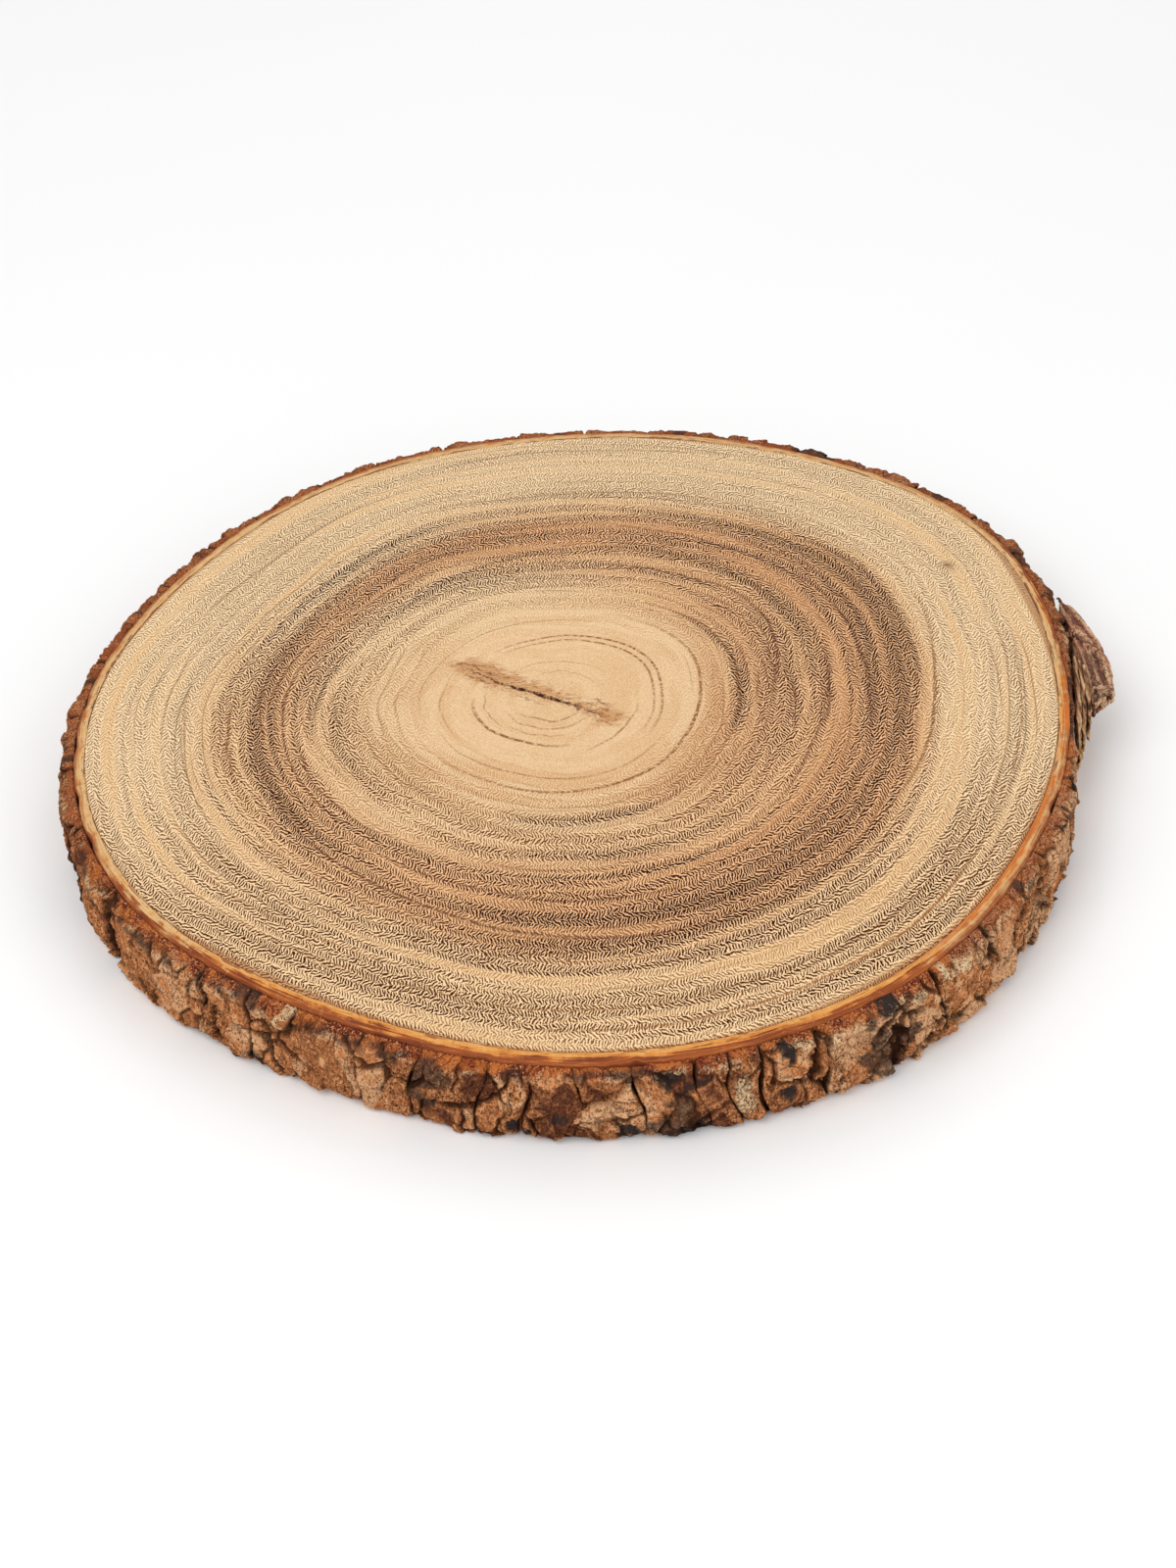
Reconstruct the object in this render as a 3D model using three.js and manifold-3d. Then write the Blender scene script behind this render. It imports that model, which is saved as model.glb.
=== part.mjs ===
// A round serving board: one slice sawn across a tree trunk, with its bark left on.
// Millimetres, +Z up. The origin is the middle of the sawn underside that the board rests on.
// Angles run counter-clockwise from +X, seen from above.
import * as THREE from "three";
import { mergeVertices } from "three/addons/utils/BufferGeometryUtils.js";
import Module from "manifold-3d";

const wasm = await Module();
wasm.setup();

const { clamp, degToRad, euclideanModulo, lerp, smoothstep } = THREE.MathUtils;

// Driving dimensions of the slice
const SLAB_THICKNESS = 26.8;
const WOOD_RADIUS = 143;
// How far the wood stands out of round, every 30 degrees from +X
const WOOD_OUT_OF_ROUND = [-5, 3, 0, -1.5, 0.5, -1.2, 2, 1.3, -2.4, 2.4, 2, -4.8];
const STEPS_ROUND = 96;
// Narrow gap between pieces that grew on each other
const SEAT_GAP = 0.3;

// Heart check: the drying crack that opens across the pith on the upper face
const PITH = new THREE.Vector2(-10, 1);
const CHECK_LENGTH = 40;
const CHECK_WIDTH = 1.1;
const CHECK_DEPTH = 3;
const CHECK_TURN = degToRad(-32);
const CHECK_WANDER = 1.2;
const CHECK_STEPS = 14;

// Inner bark: the smooth layer of bast around the wood
const BAST_THICKNESS = 3.2;
const BAST_FOOT_EASE = 0.6;
const BAST_EDGE_STEPS = 3;
// How far sanding has lowered the upper edge at the outside of the bast, every 30 degrees from +X
const EDGE_EASE = [0.8, 0.6, 0.4, 0.3, 0.3, 0.5, 0.9, 1.5, 1.7, 1.7, 1.6, 1.2];

// Outer bark: its thickness every 30 degrees from +X
const BARK_THICKNESS = [3.6, 4, 4.4, 4.6, 4.8, 4, 3.5, 5, 5, 2.8, 4.6, 6.2];
// Relief of the plates' faces, as shares of the bark's thickness there
const BARK_RIDGE_SHARE = 0.18;
const BARK_PLATE_SHARE = 0.14;
const BARK_EDGE_SHARE = 0.45;
const BARK_FOOT_SHARE = 0.2;
// How sharply a plate falls away at its sides, and at its top and foot
const SIDE_POWER = 4;
const END_POWER = 8;
// Ridges to one turn of the trunk, chips among them, and how the two change along the trunk
const RIDGES = 41;
const RIDGE_PITCH = 20;
const CHIPS = 82;
const CHIP_PITCH = 9;
// Wear of the plates' upper and lower edges, and the size of the facets on their faces
const BARK_TOP_STEP = 0.2;
const BARK_TOP_WEAR = 1.2;
const BARK_FOOT_WEAR = 1.1;
const BARK_FACET = 4.6;
// Where bark has torn away the plates are thin: the middle of that stretch, its reach and what is left
const TORN_MIDDLE = degToRad(-8);
const TORN_REACH = degToRad(13);
const TORN_LEFT = 0.3;

// Fissures part the bark plates: their mean angles in degrees, a lean from foot to top, a wander
// with its wavelength along the trunk, and the gap at the root and at the weathered face
const FISSURES = [
  5, 15, 24, 33, 43, 51, 60, 69, 79, 87, 96, 106, 115, 123, 133, 141, 151, 160, 168, 178, 187, 197,
  208, 225, 231.5, 237, 244.5, 250.5, 257.5, 262, 267, 273, 279, 282, 285, 291.5, 300.5, 305.5,
  313.5, 318.5, 325.5, 334, 343, 352,
];
const FISSURE_LEAN = degToRad(1.6);
const FISSURE_WANDER = degToRad(0.5);
const FISSURE_WAVELENGTH = 28;
const FISSURE_ROOT = 0.5;
const FISSURE_MOUTH = 1.7;
// Cross cracks part some plates again: the plate, and the crack's mean height as a share of the bark's
const CROSS_CRACKS = new Map([
  [4, 0.64],
  [9, 0.44],
  [15, 0.66],
  [20, 0.4],
  [25, 0.7],
  [31, 0.56],
  [37, 0.38],
  [40, 0.6],
]);
const CROSS_CRACK_GAP = 0.9;
const CROSS_CRACK_WANDER = 1.3;
const CROSS_CRACK_WAVES = 0.8;

// Peeling scale: a flake of thick old bark at +X, sawn level on top and broken off at its clockwise end.
// It keeps its distance from the round of the wood where the trunk's own bark has torn away behind it
const SCALE_START = degToRad(15);
const SCALE_END = degToRad(-5);
const SCALE_END_SLANT = degToRad(1.8);
const SCALE_STAND_OFF = 5.4;
const SCALE_THICKNESS_START = 2;
const SCALE_THICKNESS_END = 7.6;
const SCALE_GROWTH = 0.35;
const SCALE_TOP_DROP = 2;
const SCALE_TOP_FALL = 2.2;
const SCALE_FOOT_START = 4;
const SCALE_FOOT_END = 17;
// How thin the flake is at its foot, as a share, and how far up it reaches its full thickness
const SCALE_FOOT_SHARE = 0.35;
const SCALE_FULL_AT = 0.7;
const SCALE_FACETS = { round: 10, along: 6, out: 3 };

// Splinters: torn strips of bast, side by side in the wedge between the trunk and the scale, which hang
// on beyond its broken end: where each starts and ends, and how far it sags
const SPLINTERS = [
  { start: degToRad(3.4), end: degToRad(-13.4), sag: 0.5 },
  { start: degToRad(2.6), end: degToRad(-9.6), sag: 3 },
  { start: degToRad(1.6), end: degToRad(-7.5), sag: 2.5 },
];
const SPLINTER_WIDTH = 1.4;
const SPLINTER_WIDTH_MIN = 0.45;
const SPLINTER_GAP = 0.35;
const SPLINTER_TOP_DROP = 2.5;
const SPLINTER_HEIGHT = 12;
const SPLINTER_TIP_SHARE = 0.25;
const SPLINTER_TAPER = 3;
const SPLINTER_FACETS = { round: 10, along: 3, out: 1 };

// Materials, one for each layer of the trunk
const wood = new THREE.MeshStandardMaterial({ color: 0xc9a36f, roughness: 0.55, metalness: 0 });
const bast = new THREE.MeshStandardMaterial({ color: 0xb8763b, roughness: 0.6, metalness: 0 });
const bark = new THREE.MeshStandardMaterial({ color: 0x7d4d2b, roughness: 0.9, metalness: 0 });
const oldBark = new THREE.MeshStandardMaterial({ color: 0x573a30, roughness: 0.85, metalness: 0 });
const tornBast = new THREE.MeshStandardMaterial({ color: 0xa8875c, roughness: 0.9, metalness: 0 });

// A size that varies round the trunk, from values at equal angles, on a smooth closed curve.
function aroundTrunk(values, angle) {
  const turns = (angle / (2 * Math.PI)) * values.length;
  const first = Math.floor(turns);
  const t = turns - first;
  const at = (step) => values[euclideanModulo(first + step, values.length)];
  const slopeIn = (at(1) - at(-1)) / 2;
  const slopeOut = (at(2) - at(0)) / 2;
  const rise = at(1) - at(0);
  const bend = 3 * rise - 2 * slopeIn - slopeOut;
  const twist = slopeIn + slopeOut - 2 * rise;
  return at(0) + t * (slopeIn + t * (bend + t * twist));
}

// A repeatable spread of values from -1 to 1, one for each whole number and purpose.
function spread(number, purpose) {
  return Math.sin(number * 12.9898 + purpose * 78.233);
}
const PURPOSE = { lean: 1, crack: 3, foot: 5, top: 7, plate: 9 };

// Layers of the trunk at an angle, from the wood outwards
const woodRadius = (angle) => WOOD_RADIUS + aroundTrunk(WOOD_OUT_OF_ROUND, angle);
const bastInside = (angle) => woodRadius(angle) + SEAT_GAP;
const barkRoot = (angle) => bastInside(angle) + BAST_THICKNESS + SEAT_GAP;
const edgeEase = (angle) => aroundTrunk(EDGE_EASE, angle);

function barkThickness(angle) {
  const fromTorn = euclideanModulo(angle - TORN_MIDDLE + Math.PI, 2 * Math.PI) - Math.PI;
  const torn = Math.exp(-((fromTorn / TORN_REACH) ** 2));
  return aroundTrunk(BARK_THICKNESS, angle) * lerp(1, TORN_LEFT, torn);
}

// The furthest that the bark's face can stand out at an angle, for what is seated on it.
function barkFace(angle) {
  return barkRoot(angle) + barkThickness(angle) * (1 + BARK_RIDGE_SHARE + BARK_PLATE_SHARE);
}

// Weathering of the bark, from -1 to 1: ridges along the trunk that break up into chips.
function weathering(angle, z) {
  const along = (2 * Math.PI * z) / RIDGE_PITCH;
  const chipAlong = (2 * Math.PI * z) / CHIP_PITCH;
  const ridge = Math.sin(angle * RIDGES + Math.sin(along));
  const chip = Math.sin(chipAlong + angle * CHIPS) * Math.cos(along - angle * (RIDGES + CHIPS));
  return (ridge + chip) / 2;
}

// Only positions are kept, so that shared corners merge into one closed surface.
function closed(geometry) {
  geometry.deleteAttribute("normal");
  geometry.deleteAttribute("uv");
  return mergeVertices(geometry);
}

function toSolid(geometry) {
  const merged = closed(geometry);
  return new wasm.Manifold(
    new wasm.Mesh({
      numProp: 3,
      vertProperties: merged.attributes.position.array,
      triVerts: new Uint32Array(merged.index.array),
    }),
  );
}

function fromSolid(solid) {
  const mesh = solid.getMesh();
  return new THREE.BufferGeometry()
    .setAttribute("position", new THREE.BufferAttribute(mesh.vertProperties, 3))
    .setIndex(new THREE.BufferAttribute(mesh.triVerts, 1));
}

// A block of unit size whose facets are laid round the trunk by a function of (u, v, w), each 0 to 1.
// u runs round the trunk counter-clockwise, v up along it and w out of it.
function wrappedBlock(facets, place) {
  const block = new THREE.BoxGeometry(1, 1, 1, facets.round, facets.along, facets.out);
  const at = block.attributes.position;
  for (let i = 0; i < at.count; i++) {
    const { angle, radius, z } = place(at.getX(i) + 0.5, at.getY(i) + 0.5, at.getZ(i) + 0.5);
    at.setXYZ(i, radius * Math.cos(angle), radius * Math.sin(angle), z);
  }
  return closed(block);
}

// Wood slab: the sawn disc of wood, with the heart check cut into its upper face

function woodSlab() {
  const outline = new THREE.Shape();
  for (let i = 0; i < STEPS_ROUND; i++) {
    const angle = (i / STEPS_ROUND) * 2 * Math.PI;
    const radius = woodRadius(angle);
    if (i === 0) outline.moveTo(radius, 0);
    else outline.lineTo(radius * Math.cos(angle), radius * Math.sin(angle));
  }
  const slab = new THREE.ExtrudeGeometry(outline, { depth: SLAB_THICKNESS, bevelEnabled: false });
  return fromSolid(toSolid(slab).subtract(toSolid(heartCheck())));
}

// The crack is a wandering sliver, widest at the pith and closed at both ends.
function heartCheck() {
  const upper = [];
  const lower = [];
  for (let i = 0; i <= CHECK_STEPS; i++) {
    const along = i / CHECK_STEPS - 0.5;
    const swell = Math.cos(along * Math.PI);
    const middle = CHECK_WANDER * spread(i, PURPOSE.crack) * swell;
    const half = (CHECK_WIDTH / 2) * swell;
    upper.push(new THREE.Vector2(along * CHECK_LENGTH, middle + half));
    lower.unshift(new THREE.Vector2(along * CHECK_LENGTH, middle - half));
  }
  const outline = [...upper, ...lower.slice(1, -1)].map((point) =>
    point.rotateAround(new THREE.Vector2(), CHECK_TURN).add(PITH),
  );
  const cut = new THREE.ExtrudeGeometry(new THREE.Shape(outline), {
    depth: 2 * CHECK_DEPTH,
    bevelEnabled: false,
  });
  return cut.translate(0, 0, SLAB_THICKNESS - CHECK_DEPTH);
}

// Inner bark: a turned ring, pushed out of round with the wood and sanded round at its upper edge

function innerBark() {
  const section = [
    new THREE.Vector2(0, 0),
    new THREE.Vector2(BAST_THICKNESS - BAST_FOOT_EASE, 0),
    new THREE.Vector2(BAST_THICKNESS, BAST_FOOT_EASE),
  ];
  for (let i = BAST_EDGE_STEPS; i >= 0; i--) {
    section.push(new THREE.Vector2((i / BAST_EDGE_STEPS) * BAST_THICKNESS, SLAB_THICKNESS));
  }
  section.push(section[0].clone());
  section.forEach((point) => (point.x += WOOD_RADIUS));

  const ring = new THREE.LatheGeometry(section, STEPS_ROUND).rotateX(Math.PI / 2);
  const at = ring.attributes.position;
  for (let i = 0; i < at.count; i++) {
    const angle = Math.atan2(at.getY(i), at.getX(i));
    const out = Math.hypot(at.getX(i), at.getY(i)) - WOOD_RADIUS;
    const radius = bastInside(angle) + out;
    const sanded = at.getZ(i) > SLAB_THICKNESS / 2 ? edgeEase(angle) * (out / BAST_THICKNESS) ** 2 : 0;
    at.setXYZ(i, radius * Math.cos(angle), radius * Math.sin(angle), at.getZ(i) - sanded);
  }
  return closed(ring);
}

// Bark plates

// The middle line of a fissure at height z, as an angle. The count runs on past the first turn.
function fissureAngle(index, z) {
  const turns = Math.floor(index / FISSURES.length);
  const own = euclideanModulo(index, FISSURES.length);
  const lean = FISSURE_LEAN * spread(own, PURPOSE.lean) * (z / SLAB_THICKNESS - 0.5);
  const wander = FISSURE_WANDER * Math.sin((2 * Math.PI * z) / FISSURE_WAVELENGTH + own);
  return degToRad(FISSURES[own]) + lean + wander + turns * 2 * Math.PI;
}

// The plate between fissure index and the next, from a foot height to a top height.
// Each height is a function of (u, w), so that edges are worn and cross cracks wander.
function barkPlate(index, facets, foot, top) {
  const plateShare = BARK_PLATE_SHARE * spread(index, PURPOSE.plate);
  return wrappedBlock(facets, (u, v, w) => {
    const z = lerp(foot(u, w), top(u, w), v);
    const halfGap = lerp(FISSURE_ROOT, FISSURE_MOUTH, w) / 2 / WOOD_RADIUS;
    const angle = lerp(fissureAngle(index, z) + halfGap, fissureAngle(index + 1, z) - halfGap, u);
    const atSide = BARK_EDGE_SHARE * Math.abs(2 * u - 1) ** SIDE_POWER;
    const atTop = BARK_EDGE_SHARE * v ** END_POWER;
    const atFoot = BARK_FOOT_SHARE * (1 - v) ** END_POWER;
    const share = 1 + plateShare + BARK_RIDGE_SHARE * weathering(angle, z);
    const body = barkThickness(angle) * (share - Math.max(atSide, atTop, atFoot));
    return { angle, radius: barkRoot(angle) + w * body, z };
  });
}

function barkPlates() {
  const plates = [];
  const facetsIn = (size) => Math.max(2, Math.round(size / BARK_FACET));
  FISSURES.forEach((_, index) => {
    const start = fissureAngle(index, SLAB_THICKNESS / 2);
    const end = fissureAngle(index + 1, SLAB_THICKNESS / 2);
    const round = facetsIn(WOOD_RADIUS * (end - start));
    const ease = (u) => edgeEase(lerp(start, end, u));
    const column = (u) => index * FISSURES.length + Math.round(u * round);
    const chipped = (u, purpose) => (1 + spread(column(u), purpose)) / 2;
    const rootTop = (u) => SLAB_THICKNESS - ease(u) - BARK_TOP_STEP;
    const top = (u, w) => rootTop(u) - w * ease(u) * BARK_TOP_WEAR * chipped(u, PURPOSE.top);
    const foot = (u, w) => w * BARK_FOOT_WEAR * chipped(u, PURPOSE.foot);

    const number = index + 1;
    const name = `bark_plate_${String(number).padStart(2, "0")}`;
    const share = CROSS_CRACKS.get(number);
    if (share === undefined) {
      const facets = { round, along: facetsIn(SLAB_THICKNESS), out: 1 };
      plates.push(namedMesh(name, barkPlate(index, facets, foot, top), bark));
      return;
    }
    const wave = (u) => CROSS_CRACK_WANDER * Math.sin(2 * Math.PI * CROSS_CRACK_WAVES * u + index);
    const middle = (u) => share * SLAB_THICKNESS + wave(u);
    const below = (u) => middle(u) - CROSS_CRACK_GAP / 2;
    const above = (u) => middle(u) + CROSS_CRACK_GAP / 2;
    const lowerFacets = { round, along: facetsIn(share * SLAB_THICKNESS), out: 1 };
    const upperFacets = { round, along: facetsIn((1 - share) * SLAB_THICKNESS), out: 1 };
    plates.push(namedMesh(`${name}_lower`, barkPlate(index, lowerFacets, foot, below), bark));
    plates.push(namedMesh(`${name}_upper`, barkPlate(index, upperFacets, above, top), bark));
  });
  return plates;
}

// Peeling scale: thin where it grew on, thick at the broken end, and drawn in towards its foot

const standsOff = (angle) => WOOD_RADIUS + SCALE_STAND_OFF - barkFace(angle);

function peelingScale() {
  return wrappedBlock(SCALE_FACETS, (u, v, w) => {
    const grown = (1 - u) ** SCALE_GROWTH;
    const angle = lerp(SCALE_END + w * SCALE_END_SLANT, SCALE_START, u);
    const crest = SLAB_THICKNESS - SCALE_TOP_DROP - w * SCALE_TOP_FALL;
    const z = lerp(lerp(SCALE_FOOT_START, SCALE_FOOT_END, 1 - u), crest, v);
    const full = lerp(SCALE_THICKNESS_START, SCALE_THICKNESS_END, grown);
    const share = lerp(SCALE_FOOT_SHARE, 1, smoothstep(v, 0, SCALE_FULL_AT));
    const body = full * share * (1 + BARK_RIDGE_SHARE * weathering(angle, z));
    return { angle, radius: barkFace(angle) + Math.max(SEAT_GAP, standsOff(angle)) + w * body, z };
  });
}

// Bast splinters: they share the wedge's width, and each tapers and sags towards its tip

function splinter(order) {
  const { start, end, sag } = SPLINTERS[order];
  return wrappedBlock(SPLINTER_FACETS, (u, v, w) => {
    const along = 1 - u;
    const angle = lerp(start, end, along);
    const thin = lerp(1, SPLINTER_TIP_SHARE, along ** SPLINTER_TAPER);
    const middle = SLAB_THICKNESS - SPLINTER_TOP_DROP - SPLINTER_HEIGHT / 2 - sag * along;
    const z = middle + (v - 0.5) * SPLINTER_HEIGHT * thin;
    const room = standsOff(angle) - (SPLINTERS.length + 1) * SPLINTER_GAP;
    const width = clamp(room / SPLINTERS.length, SPLINTER_WIDTH_MIN, SPLINTER_WIDTH);
    const inside = SPLINTER_GAP + order * (width + SPLINTER_GAP);
    return { angle, radius: barkFace(angle) + inside + w * width * thin, z };
  });
}

function namedMesh(name, geometry, material) {
  const mesh = new THREE.Mesh(geometry, material);
  mesh.name = name;
  return mesh;
}

const board = new THREE.Group();
board.add(namedMesh("wood_slab", woodSlab(), wood));
board.add(namedMesh("inner_bark", innerBark(), bast));
barkPlates().forEach((plate) => board.add(plate));
board.add(namedMesh("peeling_scale", peelingScale(), oldBark));
SPLINTERS.forEach((_, order) => {
  board.add(namedMesh(`bast_splinter_${order + 1}`, splinter(order), tornBast));
});

export default board;
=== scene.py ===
"""Serving board: a slice sawn across a tree trunk, with its bark left on."""
import logging
import math
from contextlib import contextmanager
from dataclasses import dataclass
from enum import Enum
from typing import Any, Iterator, NamedTuple, Sequence

import bpy
import numpy as np
from mathutils import Matrix, Vector, noise


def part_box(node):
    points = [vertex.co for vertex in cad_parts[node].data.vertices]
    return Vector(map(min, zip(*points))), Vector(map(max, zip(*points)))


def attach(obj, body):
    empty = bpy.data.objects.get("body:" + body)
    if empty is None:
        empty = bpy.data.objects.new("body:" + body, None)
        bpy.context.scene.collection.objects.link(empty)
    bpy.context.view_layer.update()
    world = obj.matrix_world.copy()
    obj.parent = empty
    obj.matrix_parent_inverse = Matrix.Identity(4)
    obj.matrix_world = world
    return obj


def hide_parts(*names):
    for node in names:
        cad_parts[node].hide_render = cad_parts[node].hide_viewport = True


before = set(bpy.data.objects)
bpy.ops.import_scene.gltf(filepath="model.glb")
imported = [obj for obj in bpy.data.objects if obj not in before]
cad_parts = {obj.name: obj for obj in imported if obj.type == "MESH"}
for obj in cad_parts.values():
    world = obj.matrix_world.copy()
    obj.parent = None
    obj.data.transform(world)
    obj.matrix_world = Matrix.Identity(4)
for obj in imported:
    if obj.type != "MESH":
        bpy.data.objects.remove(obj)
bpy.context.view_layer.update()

MM = 0.001
MARK_LIMIT = 500
BODY = "root"
LOG = logging.getLogger("serving_board")

Colour = tuple[float, float, float]
Socket = bpy.types.NodeSocket


def colour(red: int, green: int, blue: int) -> Colour:
    """Turns a colour as seen on a screen into linear light.

    Args:
        red: red, 0 to 255.
        green: green, 0 to 255.
        blue: blue, 0 to 255.

    Returns:
        The linear red, green and blue, 0 to 1.
    """
    def linear(value: int) -> float:
        """One channel in linear light."""
        part = value / 255
        return part / 12.92 if part <= 0.04045 else ((part + 0.055) / 1.055) ** 2.4

    return linear(red), linear(green), linear(blue)


def ease(value: np.ndarray, low: float, high: float) -> np.ndarray:
    """A smooth step from 0 at low to 1 at high."""
    part = np.clip((value - low) / (high - low), 0, 1)
    return part * part * (3 - 2 * part)


def along_rim(degrees: np.ndarray, stretch: Sequence[float]) -> np.ndarray:
    """Eases in and out over a stretch of the rim.

    Args:
        degrees: each point's angle.
        stretch: the angles where it starts, is full, is still full and ends.

    Returns:
        1 on the stretch and 0 off it.
    """
    start, full, still_full, end = stretch
    return ease(degrees, start, full) * ease(-degrees, -end, -still_full)


def noise_at(points: np.ndarray, scale: Sequence[float], seed: float, octaves: int = 1) -> np.ndarray:
    """Smooth noise, about -1 to 1, at each point.

    Args:
        points: one row per point.
        scale: features per unit along each axis.
        seed: shifts the pattern.
        octaves: layers of finer detail.

    Returns:
        One value per point.
    """
    spots = (points * np.asarray(scale) + seed * np.array([17.3, 9.1, 31.7])).tolist()
    if octaves == 1:
        return np.fromiter((noise.noise(spot) for spot in spots), float, len(spots))
    return np.fromiter((noise.fractal(spot, 0.7, 2.0, octaves) for spot in spots), float, len(spots))


def take_up(piece: bpy.types.Object) -> None:
    """Selects one piece alone and makes it the active one.

    Args:
        piece: the piece.
    """
    bpy.ops.object.select_all(action="DESELECT")
    piece.select_set(True)
    bpy.context.view_layer.objects.active = piece


@contextmanager
def edit_mode(piece: bpy.types.Object) -> Iterator[None]:
    """Opens a piece in edit mode with all of it selected, and closes it after.

    Args:
        piece: the piece.

    Yields:
        Nothing, while the piece is open.
    """
    take_up(piece)
    bpy.ops.object.mode_set(mode="EDIT")
    bpy.ops.mesh.select_all(action="SELECT")
    yield
    bpy.ops.object.mode_set(mode="OBJECT")


def points_of(piece: bpy.types.Object) -> np.ndarray:
    """Reads where the piece's vertices lie.

    Args:
        piece: the piece.

    Returns:
        The places in millimetres, one row each.
    """
    flat = np.zeros(len(piece.data.vertices) * 3, np.float32)
    piece.data.vertices.foreach_get("co", flat)
    return flat.reshape(-1, 3).astype(float) / MM


def normals_of(piece: bpy.types.Object) -> np.ndarray:
    """Reads which way the piece's vertices face.

    Args:
        piece: the piece.

    Returns:
        The normals, one row each.
    """
    flat = np.zeros(len(piece.data.vertices) * 3, np.float32)
    piece.data.vertex_normals.foreach_get("vector", flat)
    return flat.reshape(-1, 3).astype(float)


def move_points(piece: bpy.types.Object, points: np.ndarray) -> None:
    """Puts the piece's vertices at these places in millimetres."""
    piece.data.vertices.foreach_set("co", (points * MM).astype(np.float32).ravel())
    piece.data.update()


def mark(piece: bpy.types.Object, name: str, values: np.ndarray) -> None:
    """Stores one number per vertex under a name that a material can read."""
    layer = piece.data.attributes.new(name, "FLOAT", "POINT")
    layer.data.foreach_set("value", np.clip(values, -MARK_LIMIT, MARK_LIMIT).astype(np.float32))


def apply_modifier(piece: bpy.types.Object, kind: str, **settings: Any) -> None:
    """Adds a modifier, sets it and applies it.

    Args:
        piece: the piece.
        kind: the modifier's kind.
        settings: its options by name.
    """
    take_up(piece)
    modifier = piece.modifiers.new(kind.lower(), kind)
    for key, value in settings.items():
        setattr(modifier, key, value)
    bpy.ops.object.modifier_apply(modifier=modifier.name)


def copy_of_node(node: str, name: str) -> bpy.types.Object:
    """Copies a CAD node's mesh into a new object and merges its loose triangles.

    Args:
        node: the CAD node.
        name: the new piece's name.

    Returns:
        The new piece, closed and in the node's place.
    """
    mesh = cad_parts[node].data.copy()
    mesh.name = name
    mesh.materials.clear()
    piece = bpy.data.objects.new(name, mesh)
    bpy.context.scene.collection.objects.link(piece)
    with edit_mode(piece):
        bpy.ops.mesh.remove_doubles(threshold=0.002 * MM)
    return piece


def refine(piece: bpy.types.Object, voxel: float, rounds: int) -> None:
    """Meshes a copied solid finely and evenly.

    Args:
        piece: the copy.
        voxel: the mesh's pitch in millimetres.
        rounds: how often it is smoothed.
    """
    apply_modifier(piece, "REMESH", mode="VOXEL", voxel_size=voxel * MM)
    with edit_mode(piece):
        bpy.ops.mesh.vertices_smooth(factor=0.5, repeat=rounds)


def shade_softly(piece: bpy.types.Object) -> None:
    """Shades a finely meshed piece without facets."""
    take_up(piece)
    bpy.ops.object.shade_smooth()


def hand_over(piece: bpy.types.Object, finish: str, nodes: Sequence[str]) -> None:
    """Dresses a finished piece and puts it on the board's body in place of its CAD nodes.

    Args:
        piece: the piece.
        finish: the name of its material.
        nodes: the CAD nodes that it stands for.
    """
    piece.data.materials.append(bpy.data.materials[finish])
    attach(piece, BODY)
    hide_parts(*nodes)
    LOG.info("%s: %d faces, stands for %s", piece.name, len(piece.data.polygons), ", ".join(nodes))


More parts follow.
